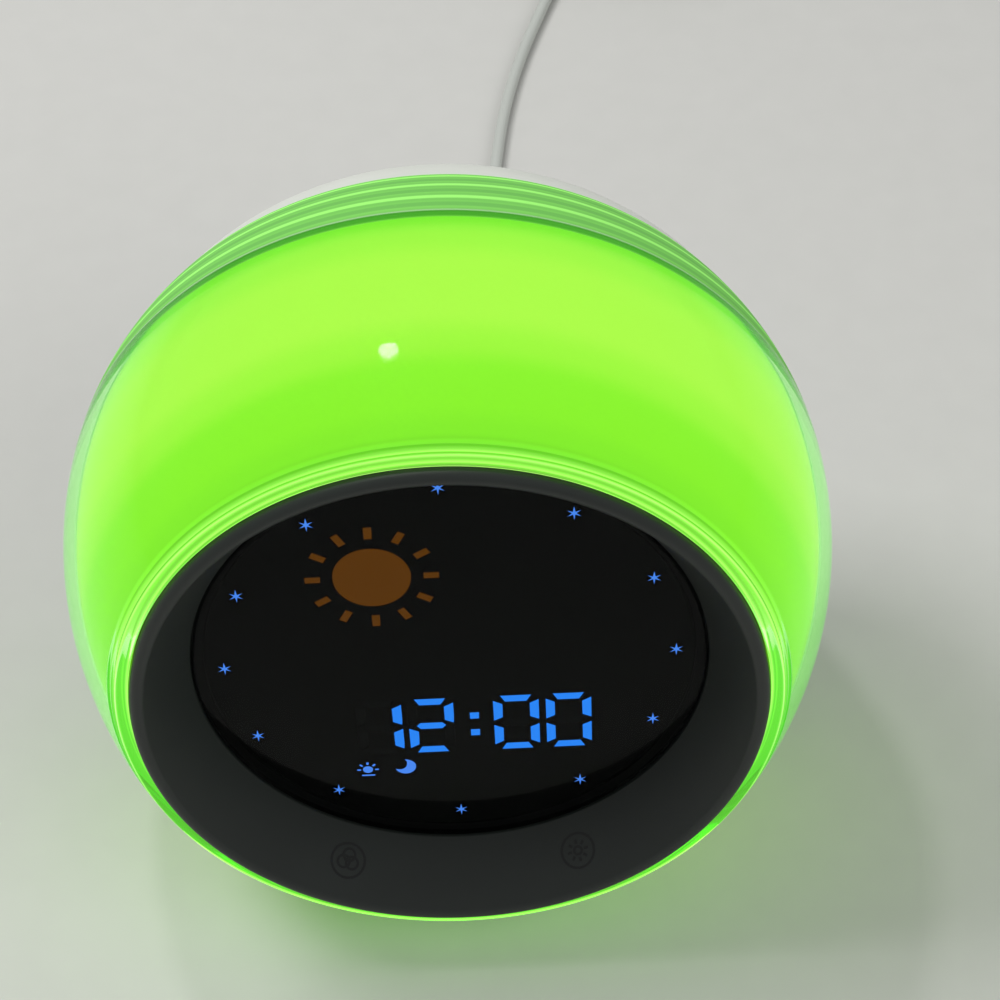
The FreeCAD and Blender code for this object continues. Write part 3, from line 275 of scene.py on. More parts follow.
opal_glow = glowing("opal_polycarbonate_lit_green", "#35701c", 0.35, 1.0, [
    (-10, "#4a860a"), (-8, "#56960c"), (-5.5, "#7ec619"), (-1, "#86ce1a"), (4, "#88d01e"), (9, "#a0d638"),
    (15, "#b1da47"), (26, "#b1da47"), (33, "#a2d63e"), (39, "#7bcb27"), (41, "#74c424"), (42.5, "#468a10"),
    (44, "#3f7c05")], grain_depth_mm=0.004, bands="EASE", Specular_IOR_Level=0.05)
ring_glow = glowing("frosted_ring_lit_green", "#4a8a34", 0.35, 1.0, [
    (44, "#5fb020"), (46.2, "#84cc40"), (47.8, "#70c030"), (49.4, "#40900c"), (51.2, "#90d450"),
    (53.3, "#88cc50"), (55.8, "#5a8c30")], grain_depth_mm=0.004, Specular_IOR_Level=0.05)
print("near end of the axis, mm", round(face_centre.dot(axis_back) / MM, 2))

# %% [markdown]
# The other finishes are the everyday ones of a moulded clock: spark-eroded ABS, smoked acrylic, printed
# ink, zinc-plated screws, bare circuit boards, PVC and silicone. Their grain is given in millimetres. Real
# spark erosion is near 0.1 mm, which a picture from this far can't show, so it is drawn a little coarser.

# %% Everyday finishes
slot_finishes = {
    "clear_pmma": clear_pmma,
    "opal_diffuser": opal_glow,
    "frosted_light_ring": ring_glow,
    # The bezel's colour is its grey moulding darkened with painted shade, the shade that falls on the face.
    "bezel_grey_abs": finish("grey_abs_darkened_painted_shade", "#1e2320", 0.5, 0.35, 0.012, mottle=0.05),
    "smoked_lens": finish("smoked_pmma_coated", "#7d8480", 0.02, Transmission_Weight=1.0, IOR=1.15),
    "adhesive_black": finish("black_foam_adhesive", "#141414", 0.9, 0.3, 0.03),
    "black_light_mask": finish("black_moulded_abs", "#050605", 0.7, 0.4, 0.01),
    "green_circuit_board": finish("solder_masked_board", "#155a2c", 0.3, 1.2, 0.01, mottle=0.15),
    "white_circuit_board": finish("white_masked_board", "#e6e6e0", 0.35, 1.2, 0.01),
    "led_package": finish("led_epoxy", "#e0dcae", 0.25),
    "zinc_steel": finish("zinc_plated_steel", "#b9babd", 0.3, 0.25, 0.003, Metallic=1.0),
    "copper_foil": finish("rolled_copper", "#c07a48", 0.3, 0.4, 0.003, Metallic=1.0),
    "white_reflector_abs": finish("white_gloss_abs", "#e4e6e2", 0.3, 0.5, 0.003),
    "component_black": finish("moulded_epoxy_black", "#1c1c1e", 0.5, 0.3, 0.006),
    "cover_white_abs": finish("textured_off_white_abs", "#d3d6ce", 0.5, 0.35, 0.012, mottle=0.02),
    "button_white_abs": finish("satin_off_white_abs", "#c9ccc5", 0.38, 0.3, 0.005),
    "speaker_steel": finish("pressed_steel", "#6d6e70", 0.4, 0.4, 0.004, Metallic=1.0),
    "speaker_paper": finish("pressed_paper_cone", "#26241f", 0.9, 0.4, 0.04),
    "speaker_ferrite": finish("sintered_ferrite", "#2c2d2f", 0.6, 0.3, 0.01),
    "lead_white_pvc": finish("extruded_off_white_pvc", "#b6bab4", 0.42, 1.5, 0.006),
    "tie_black": finish("black_nylon_tie", "#18181a", 0.6, 0.3, 0.03),
    "nickel_shell": finish("nickel_plated_steel", "#c9c6bd", 0.22, 0.3, 0.002, Metallic=1.0),
    "tongue_plastic": finish("white_nylon", "#e2e2e0", 0.4, 0.4, 0.004),
    "silicone_foot": finish("silicone_rubber", "#5a5c5a", 0.75, 0.5, 0.015),
    "blue_light_guide": finish("frosted_pmma_unlit", "#1a1d24", 0.5),
    "amber_light_guide": finish("frosted_pmma_amber", "#3a2a10", 0.5),
}
lit_blue = finish("frosted_pmma_lit_blue", "#0a1a50", 0.5,
                  Emission_Color=rgb("#2a86ff"), Emission_Strength=4.2)
lit_star = finish("frosted_pmma_lit_star", "#0a1a50", 0.5,
                  Emission_Color=rgb("#4f8cff"), Emission_Strength=4.0)
lit_amber = finish("frosted_pmma_lit_amber", "#30200a", 0.5,
                   Emission_Color=rgb("#b0640a"), Emission_Strength=1.0)
dark_ink = finish("pad_printed_dark_ink", "#0d100f", 0.45, 0.2, 0.003)
gold_plate = finish("gold_plated_copper", "#d8b25a", 0.25, 0.3, 0.002, Metallic=1.0)
print("finishes", len(slot_finishes))

# %% The lead as a curve
lead_curve = bpy.data.curves.new("supply_lead", "CURVE")
lead_curve.dimensions = "3D"
lead_spline = lead_curve.splines.new("NURBS")
lead_spline.points.add(len(route) - 1)
for point, place in zip(lead_spline.points, route):
    point.co = (*place, 1)
lead_spline.order_u = 3
lead_spline.use_endpoint_u = True
lead_curve.resolution_u = 8
lead_curve.bevel_depth = cord_diameter / 2
lead_curve.bevel_resolution = 5
lead_curve.materials.append(slot_finishes["lead_white_pvc"])
supply_lead = bpy.data.objects.new("supply_lead", lead_curve)
bpy.context.scene.collection.objects.link(supply_lead)
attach(supply_lead, "housing")
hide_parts("power_cord", "power_cord_coil", "power_cord_tail")
print("lead", len(route), "control points")

# %% [markdown]
# A CAD node that keeps its own mesh takes the finish of its slot. The record's slots are matched to the
# imported meshes through the material names the pack gave them.

# %% Finishes on the CAD nodes
for name, node in nodes.items():
    packed = node.data.materials[0].name if node.data.materials else ""
    slot = packed.split(".")[0]
    if slot in slot_finishes:
        node.data.materials.clear()
        node.data.materials.append(slot_finishes[slot])
    else:
        print("no slot", name, packed)

# %% [markdown]
# A turned piece is an outline carried round the face axis. Its tree lays out a grid with one row for each
# outline point and one column for each step round the circle, reads every row's radius and depth from the
# outline, and bends the grid into a ring. Merging by distance closes the seam, and the pole where an
# outline reaches the axis. Then the ring is leant back into the room and cut level above the base.

# %% The tree for turned pieces
def new_tree(name, sockets):
    """Geometry node group with named inputs. Returns it, its input node, its output node and identifiers."""
    tree = bpy.data.node_groups.new(name, "GeometryNodeTree")
    tree.interface.new_socket("Geometry", in_out="OUTPUT", socket_type="NodeSocketGeometry")
    tree.interface.new_socket("Geometry", in_out="INPUT", socket_type="NodeSocketGeometry")
    keys = {}
    for label, kind in sockets.items():
        keys[label] = tree.interface.new_socket(label, in_out="INPUT",
                                                socket_type="NodeSocket" + kind).identifier
    return tree, tree.nodes.new("NodeGroupInput").outputs, tree.nodes.new("NodeGroupOutput").inputs, keys


def shade_and_close(tree, geometry, material, out):
    """Sharp edges over 32 degrees, smooth faces, instances realized and the finish set."""
    angle = add_node(tree, "GeometryNodeInputMeshEdgeAngle").outputs["Unsigned Angle"]
    sharp = add_node(tree, "FunctionNodeCompare", {0: angle, 1: math.radians(32)}, operation="GREATER_THAN")
    smooth = add_node(tree, "GeometryNodeSetShadeSmooth", {"Geometry": geometry, "Shade Smooth": True})
    edged = add_node(tree, "GeometryNodeSetShadeSmooth",
                     {"Geometry": smooth.outputs[0], "Shade Smooth": False,
                                                          "Selection": sharp.outputs[0]}, domain="EDGE")
    solid = add_node(tree, "GeometryNodeRealizeInstances", {"Geometry": edged.outputs[0]})
    painted = add_node(tree, "GeometryNodeSetMaterial", {"Geometry": solid.outputs[0], "Material": material})
    tree.links.new(painted.outputs[0], out)


turned_tree, given, result, turned_keys = new_tree("turned_piece", {
    "Outline": "Object", "Steps Round": "Int", "Centre": "Vector", "Lean": "Float", "Cut": "Bool",
    "Floor": "Float", "Material": "Material"})
outline_mesh = add_node(turned_tree, "GeometryNodeObjectInfo",
                        {"Object": given["Outline"]}).outputs["Geometry"]
rows = add_node(turned_tree, "GeometryNodeAttributeDomainSize", {0: outline_mesh}).outputs["Point Count"]
columns = add_node(turned_tree, "ShaderNodeMath", {0: given["Steps Round"], 1: 1.0},
                   operation="ADD").outputs[0]
grid = add_node(turned_tree, "GeometryNodeMeshGrid", {"Size X": 1.0, "Size Y": 1.0, "Vertices X": columns,
                                                      "Vertices Y": rows}).outputs["Mesh"]
here = add_node(turned_tree, "ShaderNodeSeparateXYZ",
                {0: add_node(turned_tree, "GeometryNodeInputPosition").outputs[0]}).outputs
turn = add_node(turned_tree, "ShaderNodeMath", {0: here["X"], 1: 0.5}, operation="ADD").outputs[0]
angle = add_node(turned_tree, "ShaderNodeMath", {0: turn, 1: math.tau}, operation="MULTIPLY").outputs[0]
up_share = add_node(turned_tree, "ShaderNodeMath", {0: here["Y"], 1: 0.5}, operation="ADD").outputs[0]
last_row = add_node(turned_tree, "ShaderNodeMath", {0: rows, 1: 1.0}, operation="SUBTRACT").outputs[0]
row_exact = add_node(turned_tree, "ShaderNodeMath", {0: up_share, 1: last_row},
                     operation="MULTIPLY").outputs[0]
row = add_node(turned_tree, "ShaderNodeMath", {0: row_exact}, operation="ROUND").outputs[0]
place = add_node(turned_tree, "GeometryNodeInputPosition").outputs[0]
sampled = add_node(turned_tree, "GeometryNodeSampleIndex", data_type="FLOAT_VECTOR", domain="POINT")
turned_tree.links.new(outline_mesh, sampled.inputs["Geometry"])
turned_tree.links.new(place, sampled.inputs["Value"])
turned_tree.links.new(row, sampled.inputs["Index"])
profile = add_node(turned_tree, "ShaderNodeSeparateXYZ", {0: sampled.outputs["Value"]}).outputs
sine = add_node(turned_tree, "ShaderNodeMath", {0: angle}, operation="SINE").outputs[0]
cosine = add_node(turned_tree, "ShaderNodeMath", {0: angle}, operation="COSINE").outputs[0]
across = add_node(turned_tree, "ShaderNodeMath", {0: profile["X"], 1: sine}, operation="MULTIPLY").outputs[0]
upward = add_node(turned_tree, "ShaderNodeMath", {0: profile["X"], 1: cosine},
                  operation="MULTIPLY").outputs[0]
back = add_node(turned_tree, "ShaderNodeMath", {0: profile["Y"], 1: -1.0}, operation="MULTIPLY").outputs[0]
bent = add_node(turned_tree, "ShaderNodeCombineXYZ", {"X": across, "Y": upward, "Z": back}).outputs[0]
ring = add_node(turned_tree, "GeometryNodeSetPosition", {"Geometry": grid, "Position": bent}).outputs[0]
welded = add_node(turned_tree, "GeometryNodeMergeByDistance",
                  {"Geometry": ring, "Distance": 0.002 * MM}).outputs[0]
lean = add_node(turned_tree, "ShaderNodeCombineXYZ", {"X": given["Lean"]}).outputs[0]
leant = add_node(turned_tree, "GeometryNodeTransform", {"Geometry": welded, "Translation": given["Centre"],
                                                        "Rotation": lean}).outputs[0]
block = add_node(turned_tree, "GeometryNodeMeshCube", {"Size": (1.0, 1.0, 1.0)}).outputs["Mesh"]
drop = add_node(turned_tree, "ShaderNodeMath", {0: given["Floor"], 1: 0.5}, operation="SUBTRACT").outputs[0]
lowered = add_node(turned_tree, "GeometryNodeTransform", {
    "Geometry": block, "Translation": add_node(turned_tree, "ShaderNodeCombineXYZ", {"Z": drop}).outputs[0]})
level_cut = add_node(turned_tree, "GeometryNodeMeshBoolean", {0: leant, 1: lowered.outputs[0]},
                     operation="DIFFERENCE", solver="MANIFOLD").outputs["Mesh"]
chosen = add_node(turned_tree, "GeometryNodeSwitch",
                  {"Switch": given["Cut"], "False": leant, "True": level_cut})
shade_and_close(turned_tree, chosen.outputs[0], given["Material"], result[0])
print("turned tree", len(turned_tree.nodes), "nodes")


# %% [markdown]
# A modifier's inputs are set by their identifiers before it is first evaluated. The evaluated result is
# then kept as a plain mesh, so nothing live is left on the piece, and its faces are made to point outwards.

# %% From a tree to a piece
def object_of(name, mesh):
    thing = bpy.data.objects.new(name, mesh)
    bpy.context.scene.collection.objects.link(thing)
    return thing


def made_by(tree, keys, name, values, start=None):
    """Runs a tree on an empty mesh and returns its result as a finished object."""
    host = object_of(name + "_host", start or bpy.data.meshes.new(name + "_host"))
    modifier = host.modifiers.new(name, "NODES")
    modifier.node_group = tree
    for label, value in values.items():
        modifier[keys[label]] = value
    mesh = bpy.data.meshes.new_from_object(host.evaluated_get(bpy.context.evaluated_depsgraph_get()))
    bpy.data.objects.remove(host)
    mesh.name = name
    work = bmesh.new()
    work.from_mesh(mesh)
    bmesh.ops.dissolve_degenerate(work, dist=1e-7, edges=work.edges)
    bmesh.ops.recalc_face_normals(work, faces=work.faces)
    work.to_mesh(mesh)
    work.free()
    return object_of(name, mesh)


def soften(outline, radius, steps=4, closed=True):
    """Rounds the sharp corners of an outline of (radius, depth) points in millimetres."""
    points = [Vector(p) for p in outline]
    out = []
    for index, corner in enumerate(points):
        before, after = points[index - 1] - corner, points[(index + 1) % len(points)] - corner
        at_end = not closed and index in (0, len(points) - 1)
        if at_end or before.length < 1e-9 or after.length < 1e-9 or before.angle(after) > math.radians(155):
            out.append(corner)
            continue
        start = corner + before.normalized() * min(radius, 0.48 * before.length)
        end = corner + after.normalized() * min(radius, 0.48 * after.length)
        for step in range(steps + 1):
            t = step / steps
            out.append(start * (1 - t) ** 2 + corner * 2 * t * (1 - t) + end * t * t)
    return out + [out[0]] if closed else out


def turned(name, outline, material, replaced, steps=192, floor=None, body="housing", centre=(0, 0)):
    """Piece turned about the face axis, or about a line beside it, that stands for CAD nodes."""
    mesh = bpy.data.meshes.new(name + "_outline")
    mesh.from_pydata([(p[0] * MM, p[1] * MM, 0) for p in outline],
                     [(i, i + 1) for i in range(len(outline) - 1)], [])
    guide = object_of(name + "_outline", mesh)
    piece = made_by(turned_tree, turned_keys, name, {
        "Outline": guide, "Steps Round": steps, "Centre": to_room @ Vector((centre[0] * MM, centre[1] * MM,
                                                                            0)),
        "Lean": math.radians(90) - face_tilt, "Cut": floor is not None,
        "Floor": (floor or 0.0) * MM, "Material": material})
    bpy.data.objects.remove(guide)
    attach(piece, body)
    if replaced:
        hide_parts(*replaced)
    work = bmesh.new()
    work.from_mesh(piece.data)
    loose = sum(1 for edge in work.edges if len(edge.link_faces) != 2)
    work.free()
    low, high = (Vector(map(f, zip(*(v.co for v in piece.data.vertices)))) for f in (min, max))
    print(name, len(piece.data.polygons), "faces", loose, "open edges, box mm",
          [round(v / MM, 1) for v in (*low, *high)])
    return piece


# %% [markdown]
# The ball's outline is two arcs that meet at its widest place. One formula gives the radius at any depth,
# for the outside and for every wall inside it, so the clear shell, the opal ball and the ridged ring nest
# with an even gap. Their sizes are those of the CAD frame, in millimetres.

# %% The ball's rule
body_radius, equator_depth = 70.9, 32.5
front_arc, rear_arc = 76.8, 59.0
shell_wall, shell_rear_depth = 2.0, 57.0
bezel_radius, bezel_edge = 55.1, -10.8
base_top = 4.3


def barrel_radius(depth, inset=0.0):
    arc = front_arc if depth < equator_depth else rear_arc
    return body_radius - arc + math.sqrt((arc - inset) ** 2 - (depth - equator_depth) ** 2)


def front_depth(radius, inset):
    """Depth where the front of an inset surface has the given radius."""
    return equator_depth - math.sqrt((front_arc - inset) ** 2 - (radius - body_radius + front_arc) ** 2)


def barrel(start, end, inset=0.0, step=1.0):
    """Outline points along the ball between two depths."""
    count = max(2, round(abs(end - start) / step))
    return [(barrel_radius(start + (end - start) * i / count, inset), start + (end - start) * i / count)
            for i in range(count + 1)]


# %% [markdown]
# The clear shell has two fine grooves round its front land and a polished rear rim. Each shows a bright and a dark
# line, the bright one painted into the skin's glow, which is what tells the eye that the skin is thick and clear.

# %% Clear shell
shell_mouth, land_depth = bezel_radius + 0.3, bezel_edge - 0.1
groove_depths = (land_depth + 1.1, land_depth + 2.2)


def with_grooves(run, depths, sink, half_width):
    """The run of outline points with shallow grooves let into it."""
    out = [p for p in run if all(abs(p[1] - depth) > half_width * 1.4 for depth in depths)]
    for depth in depths:
        out += [(barrel_radius(depth + k * half_width) - down, depth + k * half_width)
                for k, down in ((-1.0, 0.0), (-0.5, sink * 0.8), (0.0, sink), (0.5, sink * 0.8), (1.0, 0.0))]
    return sorted(out, key=lambda p: p[1])


shell_outside = with_grooves(barrel(land_depth, shell_rear_depth), groove_depths, 0.4, 0.35)
shell_inside = barrel(shell_rear_depth, front_depth(shell_mouth, shell_wall), shell_wall)
clear_outline = soften(shell_outside + shell_inside + [(shell_mouth, land_depth)], 0.35)
turned("clear_ball", clear_outline, clear_pmma, ["clear_shell"], 256, floor=base_top)

# %% [markdown]
# The opal ball is a thin wall 0.4 mm inside the clear one. It ends in a flange behind the bezel, and at
# the back it meets a ring with turned ridges, which draws fine bright lines under the clear rear rim.

# %% Opal ball and ridged ring
opal_inset, opal_wall, opal_rear, floor_gap = shell_wall + 0.4, 1.6, 44.0, 0.3
opal_front, opal_lip_radius, opal_lip_back = -9.9, 55.2, -8.04
flange_radius = 54.6
opal_outline = soften(barrel(opal_front, opal_rear, opal_inset)
                      + barrel(opal_rear, opal_lip_back + opal_wall, opal_inset + opal_wall)
                      + [(flange_radius, opal_lip_back + opal_wall), (flange_radius, opal_lip_back),
                         (opal_lip_radius, opal_lip_back)], 0.05)
turned("opal_ball", opal_outline, opal_glow, ["inner_diffuser"], floor=base_top + floor_gap)

ring_inset, ring_inner, ring_start, ring_end = 2.6, 61.8, 44.3, 56.2
ridge_depths, ridge_sink, ridge_half = (46.8, 50.3, 53.6), 1.0, 0.9
ring_run = []
for point in barrel(ring_start, ring_end, ring_inset, 0.4):
    near = min(abs(point[1] - depth) for depth in ridge_depths)
    sink = ridge_sink * max(0.0, 1 - near / ridge_half)
    ring_run.append((point[0] - sink, point[1]))
ring_outline = soften(ring_run + [(ring_inner, ring_end), (ring_inner, ring_start)], 0.2)
turned("light_ring", ring_outline, ring_glow, ["ridged_ring"],
       floor=base_top + floor_gap)

# %% [markdown]
# The bezel is one turned moulding too: a deep straight dish with a rounded lip. Its section is drawn point
# by point, with the lip as an arc through three points, and every corner is eased by a fifth of a
# millimetre, because a moulded corner is never quite sharp and that thin line of light shows it.

# %% Dished bezel
def arc_through(a, b, c, steps=12):
    """Points of the circle arc from a through b to c."""
    (ax, ay), (bx, by), (cx, cy) = a, b, c
    d = 2 * (ax * (by - cy) + bx * (cy - ay) + cx * (ay - by))
    ox = ((ax * ax + ay * ay) * (by - cy) + (bx * bx + by * by) * (cy - ay) + (cx * cx + cy * cy) * (ay - by)) / d
    oy = ((ax * ax + ay * ay) * (cx - bx) + (bx * bx + by * by) * (ax - cx) + (cx * cx + cy * cy) * (bx - ax)) / d
    first, middle, last = (math.atan2(y - oy, x - ox) for x, y in (a, b, c))
    while last < first:
        last += math.tau
    while middle < first:
        middle += math.tau
    if middle > last:
        last -= math.tau
    radius = math.hypot(ax - ox, ay - oy)
    return [(ox + radius * math.cos(first + (last - first) * i / steps),
             oy + radius * math.sin(first + (last - first) * i / steps)) for i in range(steps + 1)]


lens_radius, lens_seat = 45.4, 45.7
crease = (bezel_radius - 2.5, bezel_edge - 1.3)
dish_rise, dish_run = -crease[1], crease[0] - lens_seat
dish_length = math.hypot(dish_rise, dish_run)
dish_back = (lens_seat + 2.0 * dish_rise / dish_length, 2.0 * dish_run / dish_length)
skirt_outer, skirt_inner, skirt_end = bezel_radius - 0.8, bezel_radius - 2.8, -3.0
ledge_radius, ledge_front, ledge_back = 43.6, 2.3, 3.8
lip = arc_through(crease, (bezel_radius - 1.0, bezel_edge - 1.8), (bezel_radius, bezel_edge))
bezel_outline = soften(
    [(lens_seat, 0)] + lip + [
        (bezel_radius, bezel_edge + 2.4), (skirt_outer, bezel_edge + 2.4), (skirt_outer, skirt_end),
        (skirt_inner, skirt_end), (skirt_inner, dish_back[1] - (skirt_inner - dish_back[0]) * dish_rise / dish_run),
        dish_back, (dish_back[0], ledge_back), (ledge_radius, ledge_back), (ledge_radius, ledge_front),
        (lens_seat, ledge_front)], 0.2, steps=3)
turned("dished_bezel", bezel_outline, slot_finishes["bezel_grey_abs"],
       ["front_bezel"], 256)
lens_outline = soften([(0, 0), (lens_radius - 0.3, 0), (lens_radius, 0.3), (lens_radius, 2.0), (0, 2.0)],
                      0.12, steps=3, closed=False)
turned("smoked_lens", lens_outline, slot_finishes["smoked_lens"],
       ["display_lens"], 256)

# %% [markdown]
# The digits are frosted bars in the cups of a black mask. Each bar is a small prism with eased edges. A
# seven-segment digit is a rule, so its bars come from one formula, and a table says which of them light
# for a figure. Lit and unlit bars are two pieces, because they have two finishes.

# %% Seven-segment bars
digit_half_width, digit_half_height, bar_width, half_gap, digit_corner = 4.2, 7.1, 1.8, 0.4, 1.2
digit_centres, digit_middle, figures = (-13.7, -4.3, 11.2, 20.7), -16.9, "1200"
lit_bars = {"0": (0, 1, 2, 3, 4, 5), "1": (1, 2), "2": (0, 1, 3, 4, 6)}
guide_front, guide_back, guide_gap = 2.3, 4.9, 0.1


def inset(outline, by):
    """A clockwise outline with every side moved inwards."""
    moved = []
    for index, point in enumerate(outline):
        here = Vector(point)
        before, after = here - Vector(outline[index - 1]), Vector(outline[(index + 1) % len(outline)]) - here
        before.normalize(), after.normalize()
        inward = Vector((before.y + after.y, -before.x - after.x))
        moved.append(tuple(here + inward * by / (1 + before.dot(after))))
    return moved


def bars_of_digit():
    """Top, upper right, lower right, bottom, lower left, upper left and middle bar round (0, 0)."""
    w, h, t, g = digit_half_width, digit_half_height, bar_width, half_gap
    flat, upright = w - t - g, h - digit_corner
    top = [(-w + digit_corner, h), (w - digit_corner, h), (flat, h - t), (-flat, h - t)]
    right = [(w, upright), (w, g), (w - t, t / 2 + g), (w - t, h - t - g)]
    middle = [(-w + t - g, 0), (-flat, t / 2), (flat, t / 2), (w - t + g, 0), (flat, -t / 2), (-flat, -t / 2)]
    lower = [(x, -u) for x, u in reversed(right)]
    bottom = [(x, -u) for x, u in reversed(top)]
    left = [(-x, u) for x, u in reversed(right)]
    return [top, right, lower, bottom, [(-x, u) for x, u in reversed(lower)], left, middle]


def prisms(name, outlines, front, back, ease, material, replaced, body="housing"):
    """Prisms in the face frame with eased edges, as one piece. Outlines are in millimetres."""
    work = bmesh.new()
    for outline in outlines:
        ends = [[work.verts.new((x * MM, u * MM, -depth * MM)) for x, u in outline] for depth in (front,
                                                                                                  back)]
        work.faces.new(ends[0])
        work.faces.new(list(reversed(ends[1])))
        for i in range(len(outline)):
            j = (i + 1) % len(outline)
            work.faces.new((ends[0][i], ends[1][i], ends[1][j], ends[0][j]))
    bmesh.ops.bevel(work, geom=work.edges[:], offset=ease * MM, segments=2, affect="EDGES", profile=0.5)
    bmesh.ops.recalc_face_normals(work, faces=work.faces)
    work.transform(to_room)
    mesh = bpy.data.meshes.new(name)
    work.to_mesh(mesh)
    work.free()
    mesh.materials.append(material)
    piece = object_of(name, mesh)
    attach(piece, body)
    if replaced:
        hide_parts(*replaced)
    return piece


shown = {True: [], False: []}
for centre, figure in zip(digit_centres, figures):
    for index, bar in enumerate(bars_of_digit()):
        shown[index in lit_bars[figure]].append([(centre + x, digit_middle + u) for x,
                                                 u in inset(bar, guide_gap)])
prisms("digit_bars_lit", shown[True], guide_front, guide_back, 0.08, lit_blue,
       ["digit_segments"])
prisms("digit_bars_unlit", shown[False], guide_front, guide_back, 0.08, slot_finishes["blue_light_guide"],
       ["digit_segments"])
for name, glow in (("colon_dots", lit_blue), ("star_markers", lit_star), ("status_icons", lit_star),
                   ("sun_window", lit_amber)):
    nodes[name].data.materials[0] = glow
print("lit bars", len(shown[True]), "unlit bars", len(shown[False]))

# %% [markdown]
# Two touch keys are marked on the slope of the dish, left and right of six o'clock, with pad-printed ink.
# Ink has almost no thickness, yet a decal of zero thickness would flicker against the plastic, so each
# line is a ribbon 0.06 mm thick. A small rule bends flat drawing coordinates on to the cone of the dish.

# %% Printed marks
ink_thickness = 0.06


def circle(x, y, radius, steps=40):
    return [(x + radius * math.cos(math.tau * i / steps), y + radius * math.sin(math.tau * i / steps))
            for i in range(steps)]


def rays(inner, outer, count):
    """Straight strokes that stand round a middle."""
    return [[(r * math.cos(math.tau * i / count), r * math.sin(math.tau * i / count))
             for r in (inner, outer)] for i in range(count)]


def inked(name, strokes, width, surface, material, body="housing"):
    """Ribbons along strokes. surface takes (across, up, lift) in millimetres to a room place."""
    work = bmesh.new()
    for number, (line, closed) in enumerate(strokes):
        points = [Vector(p) for p in line]
        count = len(points)
        rings = []
        for i, point in enumerate(points):
            before = points[i - 1] if closed or i else point
            after = points[(i + 1) % count] if closed or i + 1 < count else point
            side = (after - before).normalized().orthogonal() * width / 2
            low, high = -ink_thickness / 2, ink_thickness / 2 + 0.004 * (number % 5)
            rings.append([work.verts.new(surface(p.x, p.y, lift)) for p, lift in (
                (point + side, low), (point + side, high), (point - side, high), (point - side, low))])
        for i in range(count if closed else count - 1):
            a, b = rings[i], rings[(i + 1) % count]
            for k in range(4):
                work.faces.new((a[k], a[(k + 1) % 4], b[(k + 1) % 4], b[k]))
        if not closed:
            work.faces.new(rings[0])
            work.faces.new(list(reversed(rings[-1])))
    bmesh.ops.recalc_face_normals(work, faces=work.faces)
    mesh = bpy.data.meshes.new(name)
    work.to_mesh(mesh)
    work.free()
    mesh.materials.append(material)
    piece = object_of(name, mesh)
    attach(piece, body)
    print(name, len(mesh.polygons), "faces")
    return piece


touch_angle, mark_ring, mark_line = math.radians(26.0), 3.25, 0.5
slope = Vector((dish_run, dish_rise)) / dish_length


def on_dish(side):
    """Maps a mark's drawing to the dish, a quarter turn and a bit from three o'clock on one side."""
    def surface(across, up, lift):
        along = dish_length / 2 - up
        radius = lens_seat + along * slope.x - lift * slope.y
        depth = -along * slope.y - lift * slope.x
        turn = side * touch_angle + across / radius
        return face_point(radius * math.sin(turn) * MM, -radius * math.cos(turn) * MM, depth * MM)
    return surface


three_discs = [(circle(0, 0, mark_ring), True)]
three_discs += [(circle(0.95 * math.sin(a), 0.15 + 0.95 * math.cos(a), 1.15, 28), True)
                for a in (0, math.tau / 3, -math.tau / 3)]
small_sun = [(circle(0, 0, mark_ring), True), (circle(0, 0, 0.75, 24), True)]
small_sun += [(line, False) for line in rays(1.25, 2.1, 8)]
inked("touch_mark_colours", three_discs, mark_line, on_dish(-1), dark_ink)
inked("touch_mark_light", small_sun, mark_line, on_dish(1), dark_ink)

# %% [markdown]
# Holes, screws and grilles are copies of one shape at many places. A second tree does that: it puts a
# shape on every point of a mesh of bare points, leans the lot into the room and gives it a finish. The
# same tree makes the drills that are then taken out of the cover.

# %% The tree for copies
copies_tree, given, result, copies_keys = new_tree("copies_at_places", {
    "Shape": "Object", "Places": "Object", "Centre": "Vector", "Lean": "Float", "Material": "Material"})
one = add_node(copies_tree, "GeometryNodeObjectInfo", {"Object": given["Shape"]}).outputs["Geometry"]
spots = add_node(copies_tree, "GeometryNodeObjectInfo", {"Object": given["Places"]}).outputs["Geometry"]
turns = add_node(copies_tree, "GeometryNodeInputNamedAttribute", {"Name": "turn"}, data_type="FLOAT")
about = add_node(copies_tree, "ShaderNodeCombineXYZ", {"Z": turns.outputs["Attribute"]}).outputs[0]
copies = add_node(copies_tree, "GeometryNodeInstanceOnPoints",
                  {"Points": spots, "Instance": one, "Rotation": about})
leaning = add_node(copies_tree, "ShaderNodeCombineXYZ", {"X": given["Lean"]}).outputs[0]
in_room = add_node(copies_tree, "GeometryNodeTransform", {
    "Geometry": copies.outputs[0], "Translation": given["Centre"], "Rotation": leaning}).outputs[0]
shade_and_close(copies_tree, in_room, given["Material"], result[0])


def shape_of(name, outline, steps=32, closed=False):
    """Turned shape that stays at the origin, to be copied."""
    mesh = bpy.data.meshes.new(name + "_outline")
    points = list(outline) + [outline[0]] * closed
    mesh.from_pydata([(r * MM, d * MM, 0) for r, d in points], [(i, i + 1) for i in range(len(points) - 1)],
                     [])
    guide = object_of(name + "_outline", mesh)
    thing = made_by(turned_tree, turned_keys, name, {
        "Outline": guide, "Steps Round": steps, "Centre": (0.0, 0.0, 0.0), "Lean": 0.0, "Cut": False})
    bpy.data.objects.remove(guide)
    return thing


